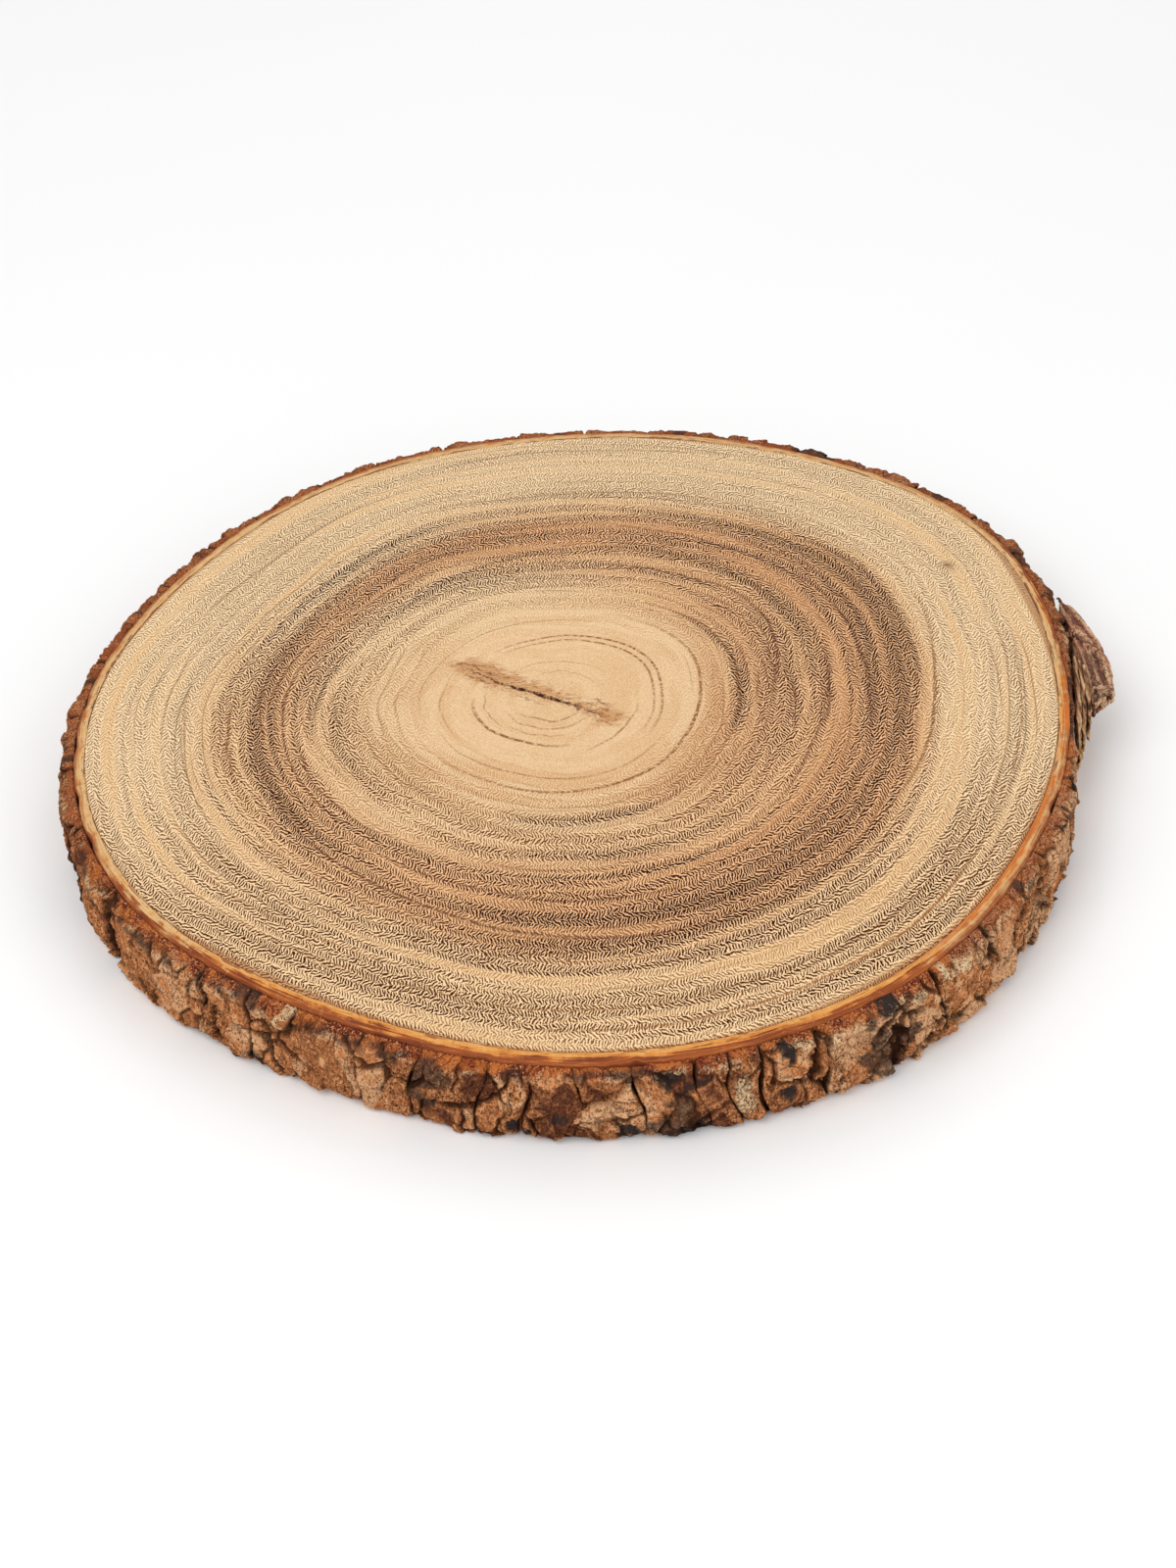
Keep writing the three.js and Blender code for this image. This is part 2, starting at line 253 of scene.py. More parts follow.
class NodeBoard:
    """Places and joins the nodes of one material or one shared effect."""

    def __init__(self, tree: bpy.types.NodeTree) -> None:
        """Works on this tree."""
        self.tree = tree

    def add(self, kind: str, **settings: Any) -> bpy.types.Node:
        """Adds a node and sets its options.

        Args:
            kind: the node's kind.
            settings: its options by name.

        Returns:
            The node.
        """
        node = self.tree.nodes.new(kind)
        for key, value in settings.items():
            setattr(node, key, value)
        return node

    def put(self, socket: Socket, value: Any) -> None:
        """Links a socket to another, or sets its own value.

        Args:
            socket: the input.
            value: an output to link, a colour or a number.
        """
        if isinstance(value, bpy.types.NodeSocket):
            self.tree.links.new(value, socket)
        elif isinstance(value, tuple) and socket.type == "RGBA":
            socket.default_value = (*value, 1.0)
        else:
            socket.default_value = value

    def math(self, operation: str, *values: Any, clamp: bool = False) -> Socket:
        """One step of arithmetic.

        Args:
            operation: the step.
            values: outputs or numbers.
            clamp: whether the result stays from 0 to 1.

        Returns:
            The result.
        """
        node = self.add("ShaderNodeMath", operation=operation, use_clamp=clamp)
        for socket, value in zip(node.inputs, values):
            self.put(socket, value)
        return node.outputs[0]

    def times(self, first: Any, second: Any) -> Socket:
        """The product of two numbers."""
        return self.math("MULTIPLY", first, second)

    def plus(self, first: Any, second: Any, clamp: bool = False) -> Socket:
        """The sum of two numbers."""
        return self.math("ADD", first, second, clamp=clamp)

    def less(self, first: Any, second: Any) -> Socket:
        """The first number less the second."""
        return self.math("SUBTRACT", first, second)

    def size(self, value: Socket) -> Socket:
        """A number without its sign."""
        return self.math("ABSOLUTE", value)

    def vector(self, operation: str, *values: Any) -> Socket:
        """One step of vector arithmetic.

        Args:
            operation: the step.
            values: outputs or vectors.

        Returns:
            The resulting vector.
        """
        node = self.add("ShaderNodeVectorMath", operation=operation)
        for socket, value in zip(node.inputs, values):
            self.put(socket, value)
        return node.outputs[0]

    def scaled(self, vector: Socket, factor: Any) -> Socket:
        """Scales a vector.

        Args:
            vector: the vector.
            factor: the number that it is multiplied by.

        Returns:
            The scaled vector.
        """
        node = self.add("ShaderNodeVectorMath", operation="SCALE")
        self.put(node.inputs[0], vector)
        self.put(node.inputs["Scale"], factor)
        return node.outputs[0]

    def blend(self, factor: Any, first: Any, second: Any) -> Socket:
        """Mixes two colours.

        Args:
            factor: the second colour's share.
            first: the first colour.
            second: the second colour.

        Returns:
            The mixed colour.
        """
        node = self.add("ShaderNodeMix", data_type="RGBA")
        self.put(node.inputs[0], factor)
        self.put(node.inputs[6], first)
        self.put(node.inputs[7], second)
        return node.outputs[2]

    def span(self, value: Any, low: Any, high: Any, start: Any = 0.0, end: Any = 1.0) -> Socket:
        """Maps low to high smoothly onto start to end.

        Args:
            value: the number to map.
            low: where it starts.
            high: where it ends.
            start: the result at low.
            end: the result at high.

        Returns:
            The mapped number.
        """
        node = self.add("ShaderNodeMapRange", interpolation_type="SMOOTHSTEP")
        for socket, part in zip(node.inputs, (value, low, high, start, end)):
            self.put(socket, part)
        return node.outputs[0]

    def noise(
        self, vector: Socket, scale: Any, detail: float = 2.0, rough: float = 0.5, bend: float = 0.0
    ) -> Socket:
        """Noise from 0 to 1.

        Args:
            vector: the place.
            scale: features per unit.
            detail: layers of finer detail.
            rough: how strong the finer layers are.
            bend: how far the pattern is bent.

        Returns:
            The noise.
        """
        node = self.add("ShaderNodeTexNoise", noise_dimensions="3D")
        self.put(node.inputs["Vector"], vector)
        self.put(node.inputs["Scale"], scale)
        self.put(node.inputs["Detail"], detail)
        self.put(node.inputs["Roughness"], rough)
        self.put(node.inputs["Distortion"], bend)
        return node.outputs[0]

    def ramp(self, factor: Socket, stops: Sequence[tuple[float, Colour]]) -> Socket:
        """Colours along a scale from 0 to 1.

        Args:
            factor: the place on the scale.
            stops: places and their colours.

        Returns:
            The colour.
        """
        node = self.add("ShaderNodeValToRGB")
        elements = node.color_ramp.elements
        while len(elements) < len(stops):
            elements.new(1.0)
        for element, (place, shade) in zip(elements, stops):
            element.position = place
            element.color = (*shade, 1.0)
        self.put(node.inputs[0], factor)
        return node.outputs[0]

    def attribute(self, name: str) -> Socket:
        """A number that the piece stores per vertex."""
        return self.add("ShaderNodeAttribute", attribute_name=name).outputs["Fac"]

    def place(self) -> Socket:
        """The place on the piece, in millimetres."""
        return self.scaled(self.add("ShaderNodeTexCoord").outputs["Object"], 1 / MM)

    def group(self, tree: bpy.types.NodeTree, **values: Any) -> bpy.types.Node:
        """Places a shared effect.

        Args:
            tree: the effect.
            values: its inputs by name.

        Returns:
            The node.
        """
        node = self.add("ShaderNodeGroup")
        node.node_tree = tree
        for key, value in values.items():
            self.put(node.inputs[key], value)
        return node

    def ring_noise(self, place: Socket, ring: Socket, count: float, runs: float, detail: float) -> Socket:
        """Places the lines that follow the growth rings.

        Args:
            place: the place in millimetres.
            ring: the growth ring.
            count: lines from the pith to the bark.
            runs: how often a line changes on its way round.
            detail: layers of finer detail.

        Returns:
            The lines as noise from 0 to 1.
        """
        tree = bpy.data.node_groups["growth_lines"]
        return self.group(tree, Place=place, Ring=ring, Count=count, Runs=runs, Detail=detail).outputs[0]

    def bump(self, height: Socket, depth: float) -> Socket:
        """Fine relief.

        Args:
            height: the relief, 0 to 1.
            depth: how deep it is in millimetres.

        Returns:
            The normal.
        """
        node = self.add("ShaderNodeBump")
        self.put(node.inputs["Strength"], 1.0)
        self.put(node.inputs["Distance"], depth * MM)
        self.put(node.inputs["Height"], height)
        return node.outputs[0]


def shared_effect(name: str, inputs: Sequence[tuple[str, str]], outputs: Sequence[str]) -> tuple[Any, ...]:
    """Starts a shader node group.

    Args:
        name: the effect's name.
        inputs: each input's name and kind.
        outputs: the names of the values that it gives.

    Returns:
        The tree, a board to work on it, its inputs by name and its output node.
    """
    tree = bpy.data.node_groups.new(name, "ShaderNodeTree")
    for label, kind in inputs:
        tree.interface.new_socket(label, in_out="INPUT", socket_type=kind)
    for label in outputs:
        tree.interface.new_socket(label, in_out="OUTPUT", socket_type="NodeSocketFloat")
    board = NodeBoard(tree)
    entry = board.add("NodeGroupInput")
    leave = board.add("NodeGroupOutput")
    return tree, board, entry.outputs, leave.inputs


def growth_lines() -> bpy.types.NodeTree:
    """Lines that follow the growth rings and come and go along them.

    Returns:
        The effect.
    """
    tree, board, given, out = shared_effect(
        "growth_lines",
        [("Place", "NodeSocketVector"), ("Ring", "NodeSocketFloat"), ("Count", "NodeSocketFloat"),
         ("Runs", "NodeSocketFloat"), ("Detail", "NodeSocketFloat")],
        ["Line"],
    )
    away = board.vector("SUBTRACT", given["Place"], Vector((*WoodSlab.pith, 0)))
    flat = board.vector("MULTIPLY", away, Vector((1, 1, 0)))
    heading = board.scaled(board.vector("NORMALIZE", flat), given["Runs"])
    lift = board.add("ShaderNodeCombineXYZ")
    board.put(lift.inputs["Z"], board.times(given["Ring"], given["Count"]))
    spot = board.vector("ADD", heading, lift.outputs[0])
    board.put(out["Line"], board.noise(spot, 1.0, given["Detail"], 0.6))
    return tree


def weathered_skin() -> bpy.types.NodeTree:
    """Patches, speckle and fine cracks of weathered bark, drawn out along the trunk.

    Returns:
        The effect.
    """
    tree, board, given, out = shared_effect(
        "weathered_skin",
        [("Place", "NodeSocketVector"), ("Patch Size", "NodeSocketFloat"), ("Stretch", "NodeSocketFloat")],
        ["Patch", "Speckle", "Grit", "Crack"],
    )
    squeeze = board.add("ShaderNodeCombineXYZ")
    board.put(squeeze.inputs["X"], 1.0)
    board.put(squeeze.inputs["Y"], 1.0)
    board.put(squeeze.inputs["Z"], given["Stretch"])
    drawn = board.vector("MULTIPLY", given["Place"], squeeze.outputs[0])
    patch = board.noise(drawn, board.math("DIVIDE", 1.0, given["Patch Size"]), 3.0, 0.6, 0.8)
    vein = board.noise(drawn, 0.09, 2.0, 0.5, 0.6)
    crack = board.size(board.less(vein, 0.5))
    board.put(out["Patch"], patch)
    board.put(out["Speckle"], board.noise(drawn, 0.7, 4.0, 0.7))
    board.put(out["Grit"], board.noise(drawn, 1.9, 3.0, 0.75))
    board.put(out["Crack"], board.span(crack, 0.003, 0.012, 1.0, 0.0))
    return tree


class Finish:
    """A material with one Principled shader."""

    name = "finish"

    def make(self) -> bpy.types.Material:
        """Builds the material.

        Returns:
            The material.
        """
        material = bpy.data.materials.new(self.name)
        material.use_nodes = True
        board = NodeBoard(material.node_tree)
        shader = material.node_tree.nodes["Principled BSDF"]
        self.draw(board, shader)
        return material

    def draw(self, board: NodeBoard, shader: bpy.types.Node) -> None:
        """Joins the nodes of this finish to the shader.

        Args:
            board: the material's board.
            shader: the material's Principled shader.
        """
        raise NotImplementedError


class FaceReadings(NamedTuple):
    """What the sawn face's marks and growth rings give to its material."""

    place: Socket
    ring: Socket
    heart: Socket
    streak: Socket
    figure: Socket
    broad: Socket
    lane: Socket
    fine: Socket


@dataclass(frozen=True)
class SawnWood(Finish):
    """Sanded end grain: pale sapwood, a dark heartwood band and herringbone pores."""

    name: str = "sawn_wood"
    stroke_pitch: float = 0.72
    stroke_cell: float = 1.20
    stroke_turn: float = 52.0
    stroke_squeeze: float = 0.60
    bands: float = 30.0
    seam_lines: tuple[float, float, float] = (34.0, 1.1, 0.0)
    seam_step: float = 0.006
    pore_depth: float = 0.06

    def draw(self, board: NodeBoard, shader: bpy.types.Node) -> None:
        """Joins the nodes of this finish to the shader.

        Args:
            board: the material's board.
            shader: the material's Principled shader.
        """
        face = self.read_face(board)
        # pale: the side sapwood's paleness, and painted light: the face is painted paler towards the back,
        # as the back light's sheen.
        pale = board.times(board.attribute("pale"), board.span(face.heart, 0.12, 0.45, 1.0, 0.0))
        grain = board.noise(face.place, 1.6, 3.0, 0.7)
        tone = self.clean_wood(board, face, pale, grain)
        tone, dark = self.pored(board, face, (pale, grain), tone)
        tone = board.blend(board.times(self.seams(board, face), 0.5), tone, colour(112, 60, 30))
        tone = self.ring_marks(board, face.place, face.heart, tone)
        tone = self.stained(board, face.place, tone)
        tone = board.blend(board.span(face.ring, 0.990, 1.0, 0.0, 0.6), tone, colour(150, 92, 50))
        board.put(shader.inputs["Base Color"], tone)
        board.put(shader.inputs["Roughness"], board.span(dark, 0.0, 1.0, 0.55, 0.8))
        board.put(shader.inputs["Normal"], board.bump(dark, -self.pore_depth))
        shader.inputs["Specular IOR Level"].default_value = 0.06

    def read_face(self, board: NodeBoard) -> FaceReadings:
        """Reads the slab's marks and the lines that follow its growth rings.

        Args:
            board: the material's board.

        Returns:
            The readings.
        """
        place, ring = board.place(), board.attribute("ring")
        return FaceReadings(
            place=place,
            ring=ring,
            heart=board.attribute("heart"),
            streak=board.attribute("streak"),
            figure=board.attribute("figure"),
            broad=board.ring_noise(place, ring, 11.0, 0.8, 2.0),
            lane=board.ring_noise(place, ring, 30.0, 0.8, 2.0),
            fine=board.ring_noise(place, ring, 64.0, 0.9, 1.0),
        )

    def clean_wood(self, board: NodeBoard, face: FaceReadings, pale: Socket, grain: Socket) -> Socket:
        """The wood's colour without its pores.

        Args:
            board: the material's board.
            face: the face's readings.
            pale: where the face is paler: the sapwood at the sides, and painted light, a sheen towards the
                back.
            grain: mottling.

        Returns:
            The colour.
        """
        shift = board.span(face.lane, 0.43, 0.57, 0.16, -0.16)
        shift = board.plus(shift, board.span(face.broad, 0.3, 0.7, 0.12, -0.12))
        depth = board.math("MULTIPLY_ADD", shift, board.span(face.ring, 0.15, 0.45, 0.3, 1.0), face.heart)
        tone = board.ramp(depth, [
            (0.00, colour(229, 194, 150)),
            (0.20, colour(218, 173, 124)),
            (0.46, colour(204, 148, 100)),
            (0.74, colour(192, 128, 81)),
            (1.00, colour(150, 88, 52)),
        ])
        tone = board.blend(board.times(pale, 0.8), tone, colour(242, 210, 164))
        golden = board.times(board.span(face.ring, 0.62, 0.82), board.span(face.lane, 0.50, 0.66, 0.0, 0.6))
        tone = board.blend(golden, tone, colour(230, 182, 122))
        amber = board.times(face.heart, board.span(face.lane, 0.54, 0.70, 0.0, 0.9))
        tone = board.blend(amber, tone, colour(210, 150, 100))
        tone = board.blend(board.span(grain, 0.50, 0.70, 0.0, 0.55), tone, colour(196, 150, 102))
        speck = board.noise(face.place, 2.6, 2.0, 0.6)
        tone = board.blend(board.span(speck, 0.52, 0.70, 0.0, 0.5), tone, colour(186, 136, 88))
        tone = board.blend(board.span(speck, 0.48, 0.30, 0.0, 0.4), tone, colour(252, 224, 184))
        return board.blend(board.times(face.streak, 0.5), tone, colour(120, 68, 46))

    def pored(
        self, board: NodeBoard, face: FaceReadings, mottle: tuple[Socket, Socket], tone: Socket
    ) -> tuple[Socket, Socket]:
        """The wood's colour with its pores, dark strokes with bright wood between them.

        Args:
            board: the material's board.
            face: the face's readings.
            mottle: where the face is paler (the side sapwood, and painted light towards the back), and the
                mottling.
            tone: the colour of the clean wood.

        Returns:
            The colour, and where a stroke is dark.
        """
        pale, grain = mottle
        stroke = self.strokes(board, face.place, face.ring)
        level = board.math("MULTIPLY_ADD", face.heart, 0.50, 0.16)
        level = board.plus(level, board.span(face.lane, 0.43, 0.57, 0.24, -0.22))
        level = board.plus(level, board.span(face.broad, 0.36, 0.64, 0.14, -0.14))
        level = board.times(level, face.figure)
        dashed = board.times(face.streak, board.span(face.fine, 0.32, 0.62, 0.7, 1.1))
        level = board.plus(level, dashed, clamp=True)
        edge = board.math("MULTIPLY_ADD", level, -0.26, 0.66)
        edge = board.plus(edge, board.span(grain, 0.35, 0.65, -0.3, 0.3))
        dark = board.span(stroke, board.less(edge, 0.18), board.plus(edge, 0.18))
        shown = board.times(face.figure, board.span(face.lane, 0.50, 0.64, 1.0, 0.6))
        shown = board.plus(shown, face.streak, clamp=True)
        dark = board.times(dark, shown)
        ink = board.ramp(level, [
            (0.00, colour(126, 78, 36)),
            (0.25, colour(90, 46, 14)),
            (0.55, colour(52, 18, 2)),
            (1.00, colour(28, 6, 1)),
        ])
        light = board.times(board.span(stroke, 0.45, 0.0, 0.0, 0.95), shown)
        light = board.times(light, board.math("MULTIPLY_ADD", face.streak, -0.35, 1.0))
        bright = board.blend(board.span(face.heart, 0.1, 0.6), colour(255, 221, 175), colour(248, 198, 150))
        tone = board.blend(light, tone, board.blend(pale, bright, colour(255, 231, 191)))
        return board.blend(dark, tone, ink), dark

    def seams(self, board: NodeBoard, face: FaceReadings) -> Socket:
        """Thin seams between growth rings, left out where they would spread to a blot.

        Args:
            board: the material's board.
            face: the face's readings.

        Returns:
            The seams from 0 to 1.
        """
        seam = board.ring_noise(face.place, face.ring, *self.seam_lines)
        ahead = board.ring_noise(face.place, board.plus(face.ring, self.seam_step), *self.seam_lines)
        thin = board.span(board.size(board.less(seam, 0.5)), 0.01, 0.04, 1.0, 0.0)
        thin = board.times(thin, board.span(face.ring, 0.14, 0.45))
        thin = board.times(thin, board.span(face.broad, 0.42, 0.58, 1.0, 0.15))
        steep = board.size(board.less(ahead, seam))
        return board.times(thin, board.span(steep, 0.03, 0.08))

    def ring_marks(self, board: NodeBoard, place: Socket, heart: Socket, tone: Socket) -> Socket:
        """The face's colour with the thin dark ring lines.

        Args:
            board: the material's board.
            place: the place in millimetres.
            heart: how dark the heartwood is.
            tone: the colour without the lines.

        Returns:
            The colour with the lines.
        """
        dots = board.span(board.noise(place, 0.9, 3.0), 0.38, 0.54, 0.2, 1.0)
        ink = board.blend(board.span(heart, 0.2, 0.5), colour(138, 84, 40), colour(84, 42, 28))
        for which in WoodSlab.line_sets:
            thin = board.span(board.size(board.attribute(f"{which}_aside")), 0.6, 1.5, 1.0, 0.0)
            thin = board.times(thin, board.attribute(f"{which}_line"))
            tone = board.blend(board.times(thin, dots), tone, ink)
        return tone

    def stained(self, board: NodeBoard, place: Socket, tone: Socket) -> Socket:
        """The face's colour with the wisps of stain and the dark line of the heart check.

        Args:
            board: the material's board.
            place: the place in millimetres.
            tone: the colour of the clean wood.

        Returns:
            The colour with the stain.
        """
        turned = board.add("ShaderNodeMapping")
        board.put(turned.inputs["Vector"], place)
        turned.inputs["Rotation"].default_value[2] = math.radians(-WoodSlab.check_turn)
        turned.inputs["Scale"].default_value = (0.5, 1.0, 1.0)
        wisp = board.noise(turned.outputs[0], 0.28, 6.0, 0.7, 1.6)
        level = board.attribute("stain")
        edge = board.math("MULTIPLY_ADD", level, -0.46, 0.83)
        stain = board.span(wisp, board.less(edge, 0.14), board.plus(edge, 0.14))
        stain = board.times(stain, board.span(level, 0.04, 0.25, 0.0, 0.8))
        tone = board.blend(stain, tone, colour(196, 144, 94))
        thread = board.noise(turned.outputs[0], 1.1, 4.0, 0.65, 1.4)
        thread = board.times(board.span(thread, 0.52, 0.60), board.span(level, 0.25, 0.9))
        tone = board.blend(board.times(thread, 0.9), tone, colour(140, 84, 48))

        along, aside = board.attribute("check_along"), board.attribute("check_aside")
        crook = board.less(board.noise(place, 0.45, 4.0, 0.65), 0.5)
        aside = board.math("MULTIPLY_ADD", crook, 5.0, aside)
        gaps = board.span(board.noise(place, 1.0, 3.0), 0.36, 0.50, 0.15, 1.0)
        for split in WoodSlab.check_splits:
            off = board.size(board.less(aside, split.aside))
            shown = board.span(off, 0.4 * split.width, split.width, split.strength, 0.0)
            shown = board.times(shown, board.span(along, split.start, split.start + CheckSplit.taper))
            shown = board.times(shown, board.span(along, split.end - CheckSplit.taper, split.end, 1.0, 0.0))
            tone = board.blend(board.times(shown, gaps), tone, colour(84, 44, 34))
        return board.blend(board.attribute("knot"), tone, colour(92, 54, 34))

    def strokes(self, board: NodeBoard, place: Socket, ring: Socket) -> Socket:
        """Short pore strokes that lean one way and then the other from band to band.

        Args:
            board: the material's board.
            place: the place in millimetres.
            ring: the growth ring, 0 at the pith and 1 at the bark.

        Returns:
            The strokes from 0 to 1.
        """
        away = board.vector("SUBTRACT", place, Vector((*WoodSlab.pith, 0)))
        flat = board.vector("MULTIPLY", away, Vector((1.0, self.stroke_squeeze, 0.0)))
        parts = board.add("ShaderNodeSeparateXYZ")
        board.put(parts.inputs[0], flat)
        bearing = board.math("ARCTAN2", parts.outputs["Y"], parts.outputs["X"])
        wave = board.times(ring, self.bands * 2 * math.pi)
        wave = board.plus(wave, board.times(board.noise(place, 0.05, 2.0), 12.0))
        lean = board.times(board.math("SINE", wave), 9.0)
        lean = board.math("MINIMUM", board.math("MAXIMUM", lean, -1.0), 1.0)
        turn = board.plus(bearing, board.times(lean, math.radians(self.stroke_turn)))
        jitter = board.add("ShaderNodeTexNoise", noise_dimensions="2D")
        board.put(jitter.inputs["Vector"], place)
        board.put(jitter.inputs["Scale"], 0.5)
        shaken = board.vector("ADD", flat, board.scaled(jitter.outputs["Color"], 0.4))
        gabor = board.add("ShaderNodeTexGabor", gabor_type="2D")
        board.put(gabor.inputs["Vector"], shaken)
        board.put(gabor.inputs["Scale"], 1 / self.stroke_cell)
        board.put(gabor.inputs["Frequency"], self.stroke_cell / self.stroke_pitch)
        board.put(gabor.inputs["Anisotropy"], 0.70)
        board.put(gabor.inputs["Orientation"], turn)
        wheel = board.math("COSINE", board.times(gabor.outputs["Phase"], 2 * math.pi))
        ends = board.span(board.size(board.math("SINE", wave)), 0.05, 0.35, 0.28, 0.5)
        return board.math("MULTIPLY_ADD", wheel, ends, ends)


@dataclass(frozen=True)
class SandedBast(Finish):
    """Inner bark: pale and golden beside the wood, red-brown outside."""

    name: str = "sanded_bast"

    def draw(self, board: NodeBoard, shader: bpy.types.Node) -> None:
        """Joins the nodes of this finish to the shader.

        Args:
            board: the material's board.
            shader: the material's Principled shader.
        """
        place = board.place()
        across = board.attribute("across")
        layer = board.ring_noise(place, across, 7.0, 12.0, 4.0)
        mottle = board.noise(place, 0.22, 4.0, 0.65)
        shade = board.plus(across, board.span(layer, 0.25, 0.75, -0.34, 0.34))
        shade = board.plus(shade, board.span(mottle, 0.3, 0.7, -0.15, 0.15))
        pale = board.ramp(shade, [
            (0.00, colour(140, 92, 58)),
            (0.10, colour(222, 182, 128)),
            (0.50, colour(212, 166, 110)),
            (0.80, colour(190, 130, 82)),
            (1.00, colour(150, 88, 56)),
        ])
        warm = board.ramp(shade, [
            (0.00, colour(164, 102, 54)),
            (0.07, colour(226, 170, 100)),
            (0.30, colour(216, 148, 76)),
            (0.60, colour(204, 122, 54)),
            (1.00, colour(184, 100, 46)),
        ])
        uneven = board.span(mottle, 0.35, 0.65, -0.4, 0.35)
        blush = board.math("MULTIPLY_ADD", board.attribute("blush"), 1.4, uneven)
        blush = board.math("MINIMUM", board.math("MAXIMUM", blush, 0.0), 1.0)
        tone = board.blend(blush, pale, warm)
        rust = board.times(board.attribute("rust"), board.span(shade, 0.42, 0.70))
        layered = board.span(layer, 0.35, 0.65)
        tone = board.blend(rust, tone, board.blend(layered, colour(172, 94, 48), colour(122, 60, 34)))
        glow = board.blend(layered, colour(212, 128, 62), colour(184, 92, 42))
        tone = board.blend(board.times(board.attribute("ember"), 0.85), tone, glow)
        fleck = board.noise(place, 0.8, 3.0, 0.6)
        tone = board.blend(board.span(fleck, 0.56, 0.74, 0.0, 0.5), tone, colour(136, 78, 48))
        tone = board.blend(board.span(fleck, 0.42, 0.26, 0.0, 0.15), tone, colour(238, 200, 146))
        board.put(shader.inputs["Base Color"], tone)
        board.put(shader.inputs["Roughness"], board.span(mottle, 0.3, 0.7, 0.5, 0.75))
        board.put(shader.inputs["Normal"], board.bump(layer, 0.25))
        shader.inputs["Specular IOR Level"].default_value = 0.1


@dataclass(frozen=True)
class BarkSkin(Finish):
    """Weathered outer bark: flakes of many browns, dark chunks, scraped edges, black cracks, and painted
    shade in the fissures and crevices.
    """

    name: str = "bark_skin"
    chocolate: Colour = colour(106, 60, 40)
    brown: Colour = colour(186, 118, 72)
    orange: Colour = colour(220, 143, 87)
    tan: Colour = colour(238, 182, 134)
    soot: Colour = colour(58, 48, 44)
    cream: Colour = colour(234, 204, 160)
    # Near-black of the fine cracks; also the colour of the painted shade in recesses.
    crack: Colour = colour(52, 26, 15)
    grit: Colour = colour(64, 24, 8)
    top: Colour = colour(154, 82, 46)
    lap: Colour = colour(200, 112, 54)
    lap_dark: Colour = colour(132, 58, 34)
    patch_size: float = 7.0
    stretch: float = 0.6

    def draw(self, board: NodeBoard, shader: bpy.types.Node) -> None:
        """Joins the nodes of this finish to the shader.

        Args:
            board: the material's board.
            shader: the material's Principled shader.
        """
        place = board.place()
        sizes = {"Patch Size": self.patch_size, "Stretch": self.stretch}
        skin = board.group(bpy.data.node_groups["weathered_skin"], Place=place, **sizes).outputs
        drift = board.math("MULTIPLY_ADD", skin["Patch"], 1.5, -0.75)
        flake = board.plus(board.attribute("flake"), drift)
        tone = board.ramp(flake, [
            (0.04, self.chocolate),
            (0.30, self.brown),
            (0.58, self.brown),
            (0.78, self.orange),
            (1.00, self.tan),
        ])
        tone = board.blend(board.span(skin["Speckle"], 0.52, 0.70, 0.0, 0.8), tone, self.chocolate)
        tone = board.blend(board.span(skin["Speckle"], 0.46, 0.30, 0.0, 0.5), tone, self.orange)
        tone = board.blend(board.times(board.attribute("upper"), 0.8), tone, self.top)
        lap = board.blend(board.span(skin["Patch"], 0.36, 0.62), self.lap, self.lap_dark)
        tone = board.blend(board.attribute("lap"), tone, lap)
        rough = board.span(skin["Patch"], 0.36, 0.60, 0.55, 1.0)
        pit = board.times(board.span(skin["Grit"], 0.51, 0.62, 0.0, 0.95), rough)
        tone = board.blend(pit, tone, self.grit)
        tip = board.times(board.span(skin["Grit"], 0.46, 0.37, 0.0, 0.85), rough)
        tip = board.times(tip, board.span(flake, 0.0, 0.55, 0.2, 1.0))
        tone = board.blend(tip, tone, self.tan)
        chip = board.times(board.attribute("cream"), board.span(skin["Grit"], 0.58, 0.46))
        tone = board.blend(chip, tone, self.cream)
        soot = board.span(skin["Speckle"], 0.30, 0.50, 0.45, 1.0)
        soot = board.times(board.attribute("soot"), soot)
        tone = board.blend(soot, tone, self.soot)
        tone = board.blend(board.times(skin["Crack"], 0.35), tone, self.crack)
        # Painted shade: the recesses that the piece marks (cracks, fissure walls, deep fissures) are
        # painted near-black.
        tone = board.blend(board.attribute("cavity_shade"), tone, self.crack)
        board.put(shader.inputs["Base Color"], tone)
        board.put(shader.inputs["Roughness"], board.span(skin["Speckle"], 0.3, 0.7, 0.7, 0.95))
        relief = board.less(board.plus(skin["Speckle"], skin["Grit"]), skin["Crack"])
        board.put(shader.inputs["Normal"], board.bump(relief, -0.6))
        shader.inputs["Specular IOR Level"].default_value = 0.06


@dataclass(frozen=True)
class TornFibre(Finish):
    """Torn bast: pale strips with brown threads along them."""

    name: str = "torn_fibre"

    def draw(self, board: NodeBoard, shader: bpy.types.Node) -> None:
        """Joins the nodes of this finish to the shader.

        Args:
            board: the material's board.
            shader: the material's Principled shader.
        """
        place = board.place()
        drawn = board.vector("MULTIPLY", place, Vector((1.0, 0.12, 1.0)))
        fibre = board.noise(drawn, 1.1, 4.0, 0.65)
        shade = board.plus(fibre, board.times(board.attribute("thread"), 0.30))
        tone = board.ramp(shade, [
            (0.24, colour(58, 36, 26)),
            (0.38, colour(122, 84, 58)),
            (0.52, colour(168, 124, 88)),
            (0.68, colour(206, 166, 122)),
            (0.84, colour(244, 220, 180)),
        ])
        board.put(shader.inputs["Base Color"], tone)
        shader.inputs["Roughness"].default_value = 0.85
        shader.inputs["Specular IOR Level"].default_value = 0.2
        board.put(shader.inputs["Normal"], board.bump(fibre, 0.4))


